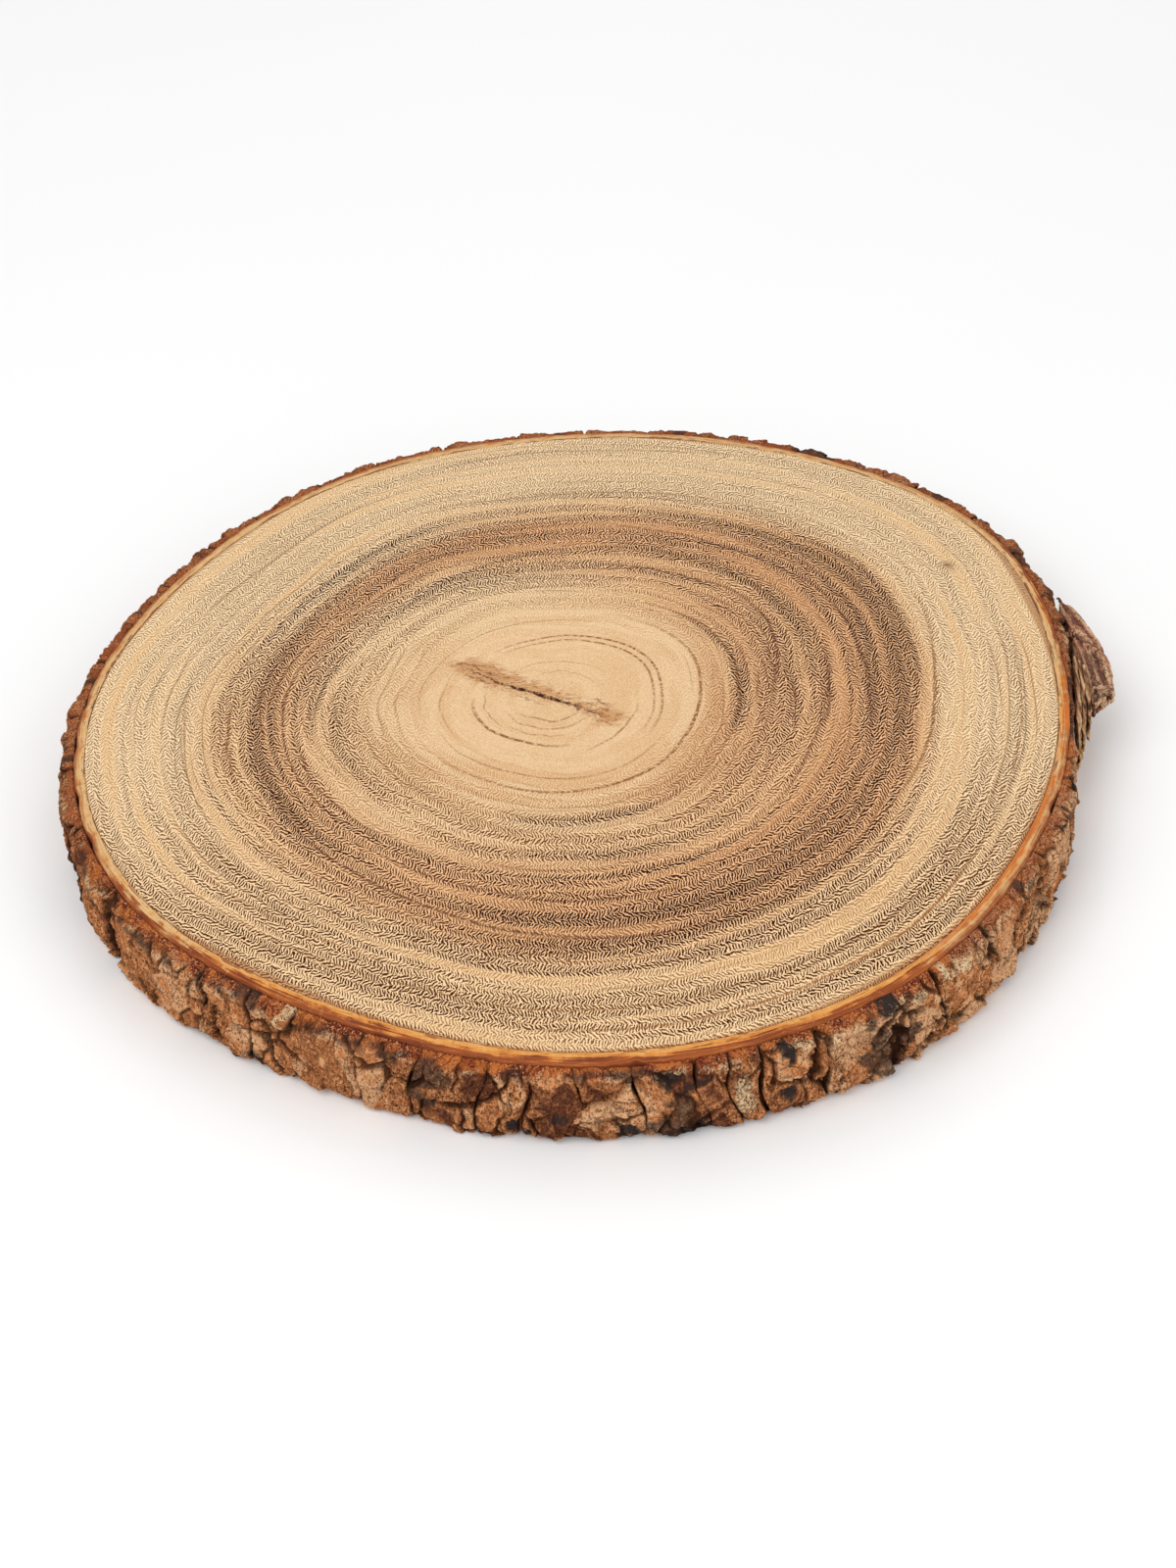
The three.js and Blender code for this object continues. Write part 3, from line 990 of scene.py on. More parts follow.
@dataclass(frozen=True)
class PaleFloor(Finish):
    """Plain pale studio floor."""

    name: str = "pale_floor"

    def draw(self, board: NodeBoard, shader: bpy.types.Node) -> None:
        """Joins the nodes of this finish to the shader.

        Args:
            board: the material's board.
            shader: the material's Principled shader.
        """
        cloud = board.noise(board.place(), 0.004, 2.0)
        tone = board.blend(cloud, (0.93, 0.93, 0.93), (0.95, 0.95, 0.95))
        board.put(shader.inputs["Base Color"], tone)
        shader.inputs["Roughness"].default_value = 0.9
        shader.inputs["Specular IOR Level"].default_value = 0.0


class TrunkOutline:
    """The trunk's outlines as the CAD solids have them."""

    def __init__(self) -> None:
        """Reads the wood's and the bast's rings of points from the frame."""
        wood = points_of(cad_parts["wood_slab"])
        bast = points_of(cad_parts["inner_bark"])
        self.top = float(wood[:, 2].max())
        self.wood = self.ring_of(wood[wood[:, 2] < 0.1])
        self.bast = self.ring_of(bast[abs(bast[:, 2] - self.top / 2) < self.top / 2 - 0.3])
        self.edge = self.edge_of(bast)

    @staticmethod
    def bearing(points: np.ndarray) -> np.ndarray:
        """The angle of each point about the trunk's axis, 0 to two pi."""
        return np.arctan2(points[:, 1], points[:, 0]) % (2 * math.pi)

    def ring_of(self, points: np.ndarray) -> tuple[np.ndarray, np.ndarray]:
        """Finds the outermost points, one for each half degree.

        Args:
            points: the solid's points.

        Returns:
            Their angles and their radii.
        """
        radius = np.hypot(points[:, 0], points[:, 1])
        steps = np.round(self.bearing(points) / math.radians(0.5)).astype(int)
        found: dict[int, tuple[float, float]] = {}
        for step, angle, reach in zip(steps.tolist(), self.bearing(points).tolist(), radius.tolist()):
            if reach > found.get(step, (0.0, 90.0))[1]:
                found[step] = (angle, reach)
        rows = np.array(sorted(found.values()))
        return rows[:, 0], rows[:, 1]

    def edge_of(self, points: np.ndarray) -> tuple[np.ndarray, np.ndarray]:
        """Finds how high the bast's outer upper edge lies.

        Args:
            points: the bast's points.

        Returns:
            The angles and the heights.
        """
        angle = self.bearing(points)
        radius = np.hypot(points[:, 0], points[:, 1])
        out = radius > np.interp(angle, *self.bast, period=2 * math.pi) - 0.05
        high = out & (points[:, 2] > self.top / 2)
        order = np.argsort(angle[high])
        return angle[high][order], points[high][order, 2]

    def wood_radius(self, angle: np.ndarray) -> np.ndarray:
        """The wood's radius at each angle."""
        return np.interp(angle, *self.wood, period=2 * math.pi)

    def bast_radius(self, angle: np.ndarray) -> np.ndarray:
        """The bast's outer radius at each angle."""
        return np.interp(angle, *self.bast, period=2 * math.pi)

    def edge_height(self, angle: np.ndarray) -> np.ndarray:
        """The height of the bast's outer upper edge at each angle."""
        return np.interp(angle, *self.edge, period=2 * math.pi)


def turned_sheet(name: str, spokes: int, rows: int) -> tuple[bpy.types.Object, np.ndarray, np.ndarray]:
    """A flat grid to be wrapped round the trunk.

    Args:
        name: the piece's name.
        spokes: faces round the trunk.
        rows: rows of points along the section.

    Returns:
        The piece, each vertex's angle and each vertex's row.
    """
    bpy.ops.object.select_all(action="DESELECT")
    bpy.ops.mesh.primitive_grid_add(x_subdivisions=spokes, y_subdivisions=rows - 1, size=1.0)
    piece = bpy.context.object
    piece.name = piece.data.name = name
    flat = points_of(piece) * MM
    angle = np.round((flat[:, 0] + 0.5) * spokes) / spokes * 2 * math.pi
    row = np.round((flat[:, 1] + 0.5) * (rows - 1)).astype(int)
    return piece, angle, row


def close_up(piece: bpy.types.Object, bend: float) -> None:
    """Merges a wrapped sheet's seam and poles, turns its faces out and smooths it.

    Args:
        piece: the sheet.
        bend: the sharpest bend in degrees that is shaded smooth.
    """
    with edit_mode(piece):
        bpy.ops.mesh.remove_doubles(threshold=0.01 * MM)
        bpy.ops.mesh.normals_make_consistent(inside=False)
    take_up(piece)
    bpy.ops.object.shade_smooth_by_angle(angle=math.radians(bend))


@dataclass(frozen=True)
class RingStreak:
    """One dark streak that follows the growth rings part of the way round."""

    start: float
    end: float
    ring_at_start: float
    ring_at_end: float
    width: float
    strength: float

    def over(self, bearing: np.ndarray, ring: np.ndarray) -> np.ndarray:
        """How strongly the streak darkens each point, 0 to 1."""
        strength, aside = self.course(bearing, ring)
        return strength * np.exp(-(aside**2))

    def course(self, bearing: np.ndarray, ring: np.ndarray) -> tuple[np.ndarray, np.ndarray]:
        """Where the streak runs.

        Args:
            bearing: degrees about the pith.
            ring: the growth ring, 0 to 1.

        Returns:
            The strength at each point's bearing, and how many widths the point lies aside.
        """
        along = ((bearing - self.start) % 360) / ((self.end - self.start) % 360)
        middle = self.ring_at_start + (self.ring_at_end - self.ring_at_start) * along
        spots = np.column_stack([along * 6, np.full(len(along), self.start), ring * 8])
        middle = middle + 0.006 * noise_at(spots, (1, 1, 1), 3.0)
        taper = np.sqrt(np.clip(np.sin(math.pi * np.clip(along, 0, 1)), 0, 1))
        return np.where(along < 1, self.strength * taper, 0), (ring - middle) / self.width


@dataclass(frozen=True)
class CheckSplit:
    """One split beside the pith, by its place along and across the heart check."""

    taper = 5.0
    start: float
    end: float
    aside: float
    width: float
    strength: float


@dataclass
class WoodSlab:
    """The sawn disc of heartwood and sapwood, cracked at the pith."""

    outline: TrunkOutline
    pith = (-10.0, 1.0)
    spokes: int = 320
    rim_ease: float = 0.35
    rim_reach: float = 0.16
    check_turn = -32.0
    check_reach: float = 21.0
    check_half_width: float = 0.5
    check_depth: float = 1.6
    pin_knot: tuple[float, float] = (115.0, 55.0)
    pin_knot_radius: float = 1.9
    dark_side: float = -50.0
    wide_side: float = 5.0
    heart_by_ring: Sequence[tuple[float, float]] = (
        (0.00, 0.05), (0.28, 0.06), (0.38, 0.15), (0.46, 0.26), (0.53, 0.44), (0.60, 0.68),
        (0.66, 0.78), (0.71, 0.70), (0.76, 0.30), (0.82, 0.10), (0.90, 0.08), (1.00, 0.12),
    )
    streaks: Sequence[RingStreak] = (
        RingStreak(336, 76, 0.699, 0.690, 0.019, 1.00),
        RingStreak(340, 50, 0.640, 0.655, 0.010, 0.80),
        RingStreak(352, 44, 0.730, 0.722, 0.010, 0.65),
        RingStreak(355, 45, 0.372, 0.362, 0.010, 0.60),
        RingStreak(42, 68, 0.478, 0.468, 0.009, 0.65),
        RingStreak(0, 75, 0.505, 0.560, 0.014, 0.45),
        RingStreak(88, 136, 0.535, 0.474, 0.006, 0.70),
        RingStreak(138, 190, 0.474, 0.520, 0.006, 0.65),
        RingStreak(108, 148, 0.712, 0.690, 0.010, 0.70),
        RingStreak(190, 222, 0.620, 0.630, 0.008, 0.70),
        RingStreak(255, 300, 0.395, 0.385, 0.016, 0.45),
        RingStreak(338, 12, 0.385, 0.380, 0.014, 0.50),
        RingStreak(265, 318, 0.485, 0.505, 0.018, 0.45),
        RingStreak(230, 345, 0.655, 0.685, 0.014, 0.75),
        RingStreak(240, 330, 0.730, 0.738, 0.009, 0.45),
        RingStreak(285, 5, 0.690, 0.690, 0.010, 0.75),
        RingStreak(225, 330, 0.550, 0.560, 0.007, 0.45),
        RingStreak(128, 240, 0.640, 0.632, 0.016, 0.80),
        RingStreak(150, 235, 0.604, 0.600, 0.008, 0.60),
    )
    line_sets = ("first", "second")
    line_reach: float = 6.0
    ring_lines: Sequence[RingStreak] = (
        RingStreak(325, 125, 0.232, 0.205, 0.0026, 0.95),
        RingStreak(325, 120, 0.216, 0.190, 0.0024, 0.85),
        RingStreak(175, 285, 0.165, 0.155, 0.0036, 0.95),
        RingStreak(200, 330, 0.255, 0.260, 0.0020, 0.60),
        RingStreak(215, 60, 0.302, 0.300, 0.0034, 0.95),
        RingStreak(60, 190, 0.270, 0.285, 0.0020, 0.50),
        RingStreak(200, 320, 0.105, 0.100, 0.0022, 0.60),
        RingStreak(30, 150, 0.130, 0.120, 0.0020, 0.45),
        RingStreak(262, 335, 0.950, 0.935, 0.0030, 0.80),
        RingStreak(225, 300, 0.905, 0.892, 0.0026, 0.60),
        RingStreak(198, 296, 0.634, 0.736, 0.0036, 0.80),
        RingStreak(172, 200, 0.688, 0.700, 0.0034, 0.80),
        RingStreak(150, 228, 0.580, 0.572, 0.0026, 0.70),
        RingStreak(186, 240, 0.552, 0.548, 0.0026, 0.70),
        RingStreak(225, 300, 0.600, 0.618, 0.0026, 0.65),
        RingStreak(165, 215, 0.800, 0.785, 0.0022, 0.50),
        RingStreak(150, 190, 0.840, 0.835, 0.0022, 0.45),
        RingStreak(200, 255, 0.870, 0.855, 0.0022, 0.50),
        RingStreak(310, 2, 0.545, 0.540, 0.0028, 0.60),
        RingStreak(352, 28, 0.445, 0.455, 0.0028, 0.60),
        RingStreak(325, 20, 0.742, 0.780, 0.0034, 0.80),
        RingStreak(333, 10, 0.928, 0.932, 0.0024, 0.60),
        RingStreak(215, 330, 0.078, 0.074, 0.0022, 0.70),
        RingStreak(20, 110, 0.095, 0.085, 0.0018, 0.40),
        RingStreak(165, 225, 0.140, 0.138, 0.0020, 0.55),
        RingStreak(290, 350, 0.185, 0.178, 0.0022, 0.70),
        RingStreak(135, 215, 0.238, 0.232, 0.0018, 0.45),
        RingStreak(225, 285, 0.128, 0.124, 0.0018, 0.55),
        RingStreak(235, 318, 0.345, 0.350, 0.0022, 0.55),
        RingStreak(180, 250, 0.400, 0.405, 0.0022, 0.50),
        RingStreak(346, 40, 0.640, 0.612, 0.0034, 0.75),
        RingStreak(34, 80, 0.612, 0.634, 0.0030, 0.65),
        RingStreak(356, 40, 0.444, 0.496, 0.0034, 0.75),
        RingStreak(33, 76, 0.496, 0.476, 0.0040, 0.80),
        RingStreak(338, 60, 0.379, 0.364, 0.0030, 0.80),
        RingStreak(342, 8, 0.496, 0.478, 0.0028, 0.70),
        RingStreak(345, 12, 0.552, 0.556, 0.0040, 0.75),
    )
    check_splits = (
        CheckSplit(-16, 12, 0.0, 0.95, 1.00),
        CheckSplit(-30, -4, 0.4, 0.55, 0.85),
        CheckSplit(-36, -16, 2.4, 0.45, 0.75),
        CheckSplit(-30, -17, -2.0, 0.40, 0.65),
        CheckSplit(6, 22, -0.8, 0.50, 0.75),
        CheckSplit(9, 20, 4.4, 0.45, 0.65),
        CheckSplit(16, 26, -3.2, 0.45, 0.60),
        CheckSplit(-12, 3, -3.4, 0.40, 0.50),
    )

    def build(self) -> None:
        """Models, marks and dresses the slab."""
        section = self.section()
        piece, bearing, row = turned_sheet("sawn_slab", self.spokes, len(section))
        ring, height = section[row, 0], section[row, 1]
        heading = np.column_stack([np.cos(bearing), np.sin(bearing)])
        reach = self.reach_from_pith(heading)
        points = np.column_stack([np.array(self.pith) + heading * (ring * reach)[:, None], height])
        upper = height > self.outline.top / 2
        points[:, 2] -= np.where(upper, self.groove(points), 0)
        move_points(piece, points)
        self.mark_grain(piece, points, bearing, np.clip(ring, 0, 1), upper)
        close_up(piece, 40)
        hand_over(piece, "sawn_wood", ["wood_slab"])

    def section(self) -> np.ndarray:
        """Half the slab's section, from below the pith round to the pith.

        Returns:
            The growth ring and the height, one row each.
        """
        top, ease_by = self.outline.top, self.rim_ease
        under = [(part, 0.0) for part in np.linspace(0, 0.992, 40)]
        rim = [(0.9985, ease_by * 0.3), (1.0, ease_by), (1.0, top / 2), (1.0, top - ease_by)]
        rim += [(0.9992, top - ease_by * 0.3), (0.9975, top)]
        spans = ((0.994, 0.42, 112), (0.416, 0.17, 54), (0.167, 0, 60))
        face = np.concatenate([np.linspace(*span) for span in spans])
        return np.array(under + rim + [(part, top) for part in face])

    def reach_from_pith(self, heading: np.ndarray) -> np.ndarray:
        """Finds how far the wood reaches from the pith.

        Args:
            heading: the way out from the pith, one row each.

        Returns:
            The reach along each heading.
        """
        reach = np.full(len(heading), 140.0)
        for _ in range(40):
            tip = np.array(self.pith) + heading * reach[:, None]
            angle = np.arctan2(tip[:, 1], tip[:, 0]) % (2 * math.pi)
            reach += self.outline.wood_radius(angle) + self.rim_reach - np.hypot(tip[:, 0], tip[:, 1])
        return reach

    def check_place(self, points: np.ndarray) -> tuple[np.ndarray, np.ndarray]:
        """Finds each point's place beside the heart check, as it wanders.

        Args:
            points: the slab's vertices.

        Returns:
            The place along the check and the place across it.
        """
        turn = math.radians(self.check_turn)
        away = points[:, :2] - np.array(self.pith)
        along = away @ np.array([math.cos(turn), math.sin(turn)])
        across = away @ np.array([-math.sin(turn), math.cos(turn)])
        bend = noise_at(np.column_stack([along, 0 * along, 0 * along]), (0.13, 1, 1), 5.0, 2)
        return along, across - 1.1 * bend

    def groove(self, points: np.ndarray) -> np.ndarray:
        """Sinks the heart check into the face.

        Args:
            points: the slab's vertices.

        Returns:
            How deep the check lies below the face at each point.
        """
        along, across = self.check_place(points)
        part = np.clip(1 - (along / self.check_reach) ** 2, 0, 1)
        half = self.check_half_width * np.sqrt(part)
        inside = np.clip(1 - (across / np.maximum(half, 0.01)) ** 2, 0, 1)
        return self.check_depth * inside * np.sqrt(part)

    def mark_grain(
        self,
        piece: bpy.types.Object,
        points: np.ndarray,
        bearing: np.ndarray,
        ring: np.ndarray,
        upper: np.ndarray,
    ) -> None:
        """Marks the growth rings, heartwood, streaks, figure and stain on the slab.

        Args:
            piece: the slab.
            points: its vertices.
            bearing: each vertex's angle about the pith.
            ring: each vertex's growth ring.
            upper: which vertices lie on the upper face.
        """
        turned = np.column_stack([np.cos(bearing), np.sin(bearing), ring])
        wander = 0.020 * noise_at(turned, (1.7, 1.7, 2.2), 1.0)
        wander += 0.007 * noise_at(turned, (4.5, 4.5, 5.0), 2.0)
        degrees = np.degrees(bearing)
        streak = np.zeros(len(ring))
        for one in self.streaks:
            streak = np.maximum(streak, one.over(degrees, ring))
        for number, which in enumerate(self.line_sets):
            line, aside = self.nearest_line(degrees, ring, self.ring_lines[number :: len(self.line_sets)])
            mark(piece, f"{which}_line", np.where(upper, line, 0))
            mark(piece, f"{which}_aside", aside)
        side_sap = ease(ring, 0.71, 0.80) * ease(np.sin(bearing), -0.75, -0.1)
        figure = (0.10 + 0.90 * ease(ring, 0.20, 0.50)) * (1 - 0.25 * side_sap)
        mark(piece, "ring", ring + wander)
        mark(piece, "heart", self.heartwood(bearing, ring, wander))
        mark(piece, "streak", streak)
        mark(piece, "figure", figure)
        # pale: the pale sapwood at the sides, and painted light: paler towards the back (larger y), as a
        # sheen from the back light.
        mark(piece, "pale", np.maximum(0.7 * ease(points[:, 1], -10, 70), side_sap))
        knot, stain = self.heart_check(points)
        mark(piece, "knot", np.where(upper, knot, 0))
        mark(piece, "stain", np.where(upper, stain, 0))
        along, across = self.check_place(points)
        mark(piece, "check_along", np.where(upper, along, 10 * self.check_reach))
        mark(piece, "check_aside", across)

    def heartwood(self, bearing: np.ndarray, ring: np.ndarray, wander: np.ndarray) -> np.ndarray:
        """Darkens the heartwood band, most of all towards the front right.

        Args:
            bearing: each vertex's angle about the pith.
            ring: each vertex's growth ring.
            wander: how far the growth rings wander.

        Returns:
            How dark the wood is, 0 to 1.
        """
        toward_dark = 0.5 + 0.5 * np.cos(bearing - math.radians(self.dark_side))
        toward_wide = 0.5 + 0.5 * np.cos(bearing - math.radians(self.wide_side))
        heart = np.interp(ring + wander, *zip(*self.heart_by_ring))
        inner = ease(ring, 0.27, 0.37) * ease(-ring, -0.55, -0.42)
        heart += 0.22 * inner * ease(toward_wide, 0.45, 0.95)
        heart *= 1 - 0.62 * ease(ring, 0.60, 0.68) * (1 - toward_dark)
        return heart * (1 - 0.25 * ease(-toward_wide, -0.5, -0.1))

    def nearest_line(
        self, degrees: np.ndarray, ring: np.ndarray, lines: Sequence[RingStreak]
    ) -> tuple[np.ndarray, np.ndarray]:
        """Finds the thin ring line that each point lies nearest to.

        Args:
            degrees: each point's bearing.
            ring: each point's growth ring.
            lines: the lines to choose from.

        Returns:
            The line's strength, gone at the reach, and how many widths the point lies aside.
        """
        strength, aside = np.zeros(len(ring)), np.full(len(ring), self.line_reach)
        for one in lines:
            shown, away = one.course(degrees, ring)
            nearer = (abs(away) < abs(aside)) & (shown > 0)
            shown = shown * ease(-abs(away), -self.line_reach, -0.6 * self.line_reach)
            strength = np.where(nearer, shown, strength)
            aside = np.where(nearer, away, aside)
        return strength, aside

    def heart_check(self, points: np.ndarray) -> tuple[np.ndarray, np.ndarray]:
        """Where the face is darkened at the pith.

        Args:
            points: the slab's vertices.

        Returns:
            The pin knot, and the stain beside the check.
        """
        along, across = self.check_place(points)
        knot = np.exp(-(np.hypot(*(points[:, :2] - np.array(self.pin_knot)).T) / self.pin_knot_radius) ** 2)
        halo = 0.95 * np.exp(-abs((across - 1.8) / 5.5) ** 1.6) * ease(-abs(along + 12), -32, -8)
        burst = 0.9 * np.exp(-(((along - 19) / 9) ** 2) - ((across / 6) ** 2))
        burst += 0.6 * np.exp(-(((along + 26) / 10) ** 2) - (((across - 1) / 6) ** 2))
        return 0.75 * knot, np.clip(halo + burst + 0.7 * knot, 0, 1.2)


@dataclass(frozen=True)
class BastPatch:
    """One stained place on the inner bark, by angle and by its reach across the ring."""

    angle: float
    reach: float
    inner: float = -0.5
    outer: float = 1.5
    soft: float = 0.12

    def over(self, degrees: np.ndarray, across: np.ndarray) -> np.ndarray:
        """Finds how strongly the stain covers each point.

        Args:
            degrees: each point's angle.
            across: each point's place across the ring.

        Returns:
            The strength, 0 to 1.
        """
        aside = abs((degrees - self.angle + 180) % 360 - 180)
        within = ease(across, self.inner - self.soft, self.inner + self.soft)
        within = within * ease(-across, -self.outer - self.soft, -self.outer + self.soft)
        return within * ease(-aside, -self.reach, -0.5 * self.reach)


@dataclass
class BastRing:
    """The closed ring of inner bark round the wood."""

    outline: TrunkOutline
    spokes: int = 480
    inner_gap: float = 0.22
    blush_patches: Sequence[BastPatch] = (
        BastPatch(348.5, 4.2, 0.10),
        BastPatch(355.5, 3.6, 0.25),
        BastPatch(326.0, 18.0, -0.5, 0.38),
        BastPatch(12.0, 6.0, 0.45),
    )
    ember_patches: Sequence[BastPatch] = (BastPatch(324.0, 22.0, -0.5, 0.40), BastPatch(349.0, 4.0, 0.3))
    rust_patches: Sequence[BastPatch] = (
        BastPatch(9.0, 9.0, 0.35),
        BastPatch(20.0, 6.0, 0.2),
        BastPatch(227.0, 9.0, 0.25),
        BastPatch(214.0, 5.0, 0.4),
    )
    blush_stretch: Sequence[float] = (216.0, 236.0, 300.0, 316.0)
    rust_stretch: Sequence[float] = (206.0, 244.0, 298.0, 316.0)
    rust_ground: float = 0.25
    ragged: float = 5.0
    worn_edge: float = 0.22
    foot_ease: float = 0.6
    fray: float = 0.25

    def build(self) -> None:
        """Models, marks and dresses the ring."""
        section = self.section()
        piece, angle, row = turned_sheet("bast_ring", self.spokes, len(section))
        inside = self.outline.wood_radius(angle) + self.inner_gap
        outside = self.outline.bast_radius(angle)
        across, up = section[row, 0], section[row, 1]
        top = self.outline.top
        drop = (top - self.outline.edge_height(angle)) * np.clip(across, 0, 1) ** 2
        radius = inside + (outside - inside) * across
        height = up * top - np.where(up > 0.5, drop, 0)
        points = np.column_stack([radius * np.cos(angle), radius * np.sin(angle), height])
        rough = self.fray * noise_at(points, (0.5, 0.5, 0.09), 11.0, 3) * ease(across, 0.75, 1.0)
        points[:, :2] += (rough / radius)[:, None] * points[:, :2]
        move_points(piece, points)
        mark(piece, "across", np.where(up < 0.93, 1.0, across))
        degrees = np.degrees(angle) + self.ragged * noise_at(points, (0.16, 0.16, 0.16), 12.0, 3)
        worn = across + self.worn_edge * noise_at(points, (0.3, 0.3, 0.3), 13.0, 3)
        blush = along_rim(degrees, self.blush_stretch)
        rust = self.rust_ground + (1 - self.rust_ground) * along_rim(degrees, self.rust_stretch)
        mark(piece, "blush", self.stained(blush, degrees, worn, self.blush_patches))
        mark(piece, "rust", self.stained(rust, degrees, worn, self.rust_patches))
        mark(piece, "ember", self.stained(np.zeros(len(points)), degrees, worn, self.ember_patches))
        close_up(piece, 50)
        hand_over(piece, "sanded_bast", ["inner_bark"])

    @staticmethod
    def stained(
        ground: np.ndarray, degrees: np.ndarray, across: np.ndarray, patches: Sequence[BastPatch]
    ) -> np.ndarray:
        """Adds stained places to the ring's ground.

        Args:
            ground: the stain outside the patches.
            degrees: each point's angle.
            across: each point's place across the ring.
            patches: the stained places.

        Returns:
            The strength, 0 to 1.
        """
        for one in patches:
            ground = np.maximum(ground, one.over(degrees, across))
        return ground

    def section(self) -> np.ndarray:
        """The ring's closed section.

        Returns:
            The place across the ring and the height, as shares, one row each.
        """
        foot = self.foot_ease / self.outline.top
        wall = [(0.0, part) for part in np.linspace(0.01, 0.99, 4)]
        face = [(0.015, 0.997)] + [(part, 1.0) for part in np.linspace(0.05, 0.94, 14)]
        edge = [(0.985, 0.992), (1.0, 0.975)]
        skin = [(1.0, part) for part in np.linspace(0.94, foot, 26)]
        sole = [(0.8, 0.0), (0.4, 0.0), (0.02, 0.0), (0.0, 0.01)]
        return np.array(wall + face + edge + skin + sole)


class MarkKind(Enum):
    """What a place on the bark shows."""

    SOOT = "soot"
    CREAM = "cream"
    CHOCOLATE = "chocolate"
    ORANGE = "orange"
    FISSURE = "fissure"


@dataclass(frozen=True)
class BarkMark:
    """One place on the bark that stands out."""

    kind: MarkKind
    angle: float
    height: float
    half_width: float
    half_height: float

    def over(self, spread: np.ndarray, girth: float) -> np.ndarray:
        """How strongly the mark covers each point.

        Args:
            spread: each point's place round the trunk and its height.
            girth: the radius at which the place round the trunk is measured.

        Returns:
            The strength, 0 to 1.
        """
        turn = 2 * math.pi * girth
        aside = (spread[:, 0] - math.radians(self.angle) * girth + turn / 2) % turn - turn / 2
        away = np.hypot(aside / self.half_width, (spread[:, 1] - self.height) / self.half_height)
        return ease(-away, -1.15, -0.75)


class BarkSurface(NamedTuple):
    """A plate's vertices, as the weathering reads them."""

    points: np.ndarray
    normals: np.ndarray
    angle: np.ndarray
    radius: np.ndarray
    spread: np.ndarray
    out: np.ndarray
    round_way: np.ndarray
    facing: np.ndarray
    sideways: np.ndarray
    top: np.ndarray
    beside: np.ndarray
    depth: np.ndarray
    face: np.ndarray

    @classmethod
    def read(cls, piece: bpy.types.Object, outline: TrunkOutline, girth: float) -> "BarkSurface":
        """Reads a plate.

        Args:
            piece: the plate, finely meshed.
            outline: the trunk's outlines.
            girth: the radius at which the place round the trunk is measured.

        Returns:
            Its surface, with the place round the trunk and the height spread out flat.
        """
        points, normals = points_of(piece), normals_of(piece)
        angle, radius = outline.bearing(points), np.hypot(points[:, 0], points[:, 1])
        level = np.zeros(len(points))
        out = np.column_stack([np.cos(angle), np.sin(angle), level])
        round_way = np.column_stack([-np.sin(angle), np.cos(angle), level])
        facing = np.sum(normals * out, axis=1)
        beside = radius - outline.bast_radius(angle)
        depth = ease(beside, 0.8, 2.2)
        return cls(
            points=points,
            normals=normals,
            angle=angle,
            radius=radius,
            spread=np.column_stack([angle * girth, points[:, 2], level]),
            out=out,
            round_way=round_way,
            facing=facing,
            sideways=np.sum(normals * round_way, axis=1),
            top=outline.edge_height(angle),
            beside=beside,
            depth=depth,
            face=depth * ease(facing, 0.0, 0.6),
        )


class BarkPattern(NamedTuple):
    """Where a plate is cracked, calm, raised, pale and marked."""

    crack: np.ndarray
    calm: np.ndarray
    lift: np.ndarray
    shade: np.ndarray
    cover: dict[MarkKind, np.ndarray]


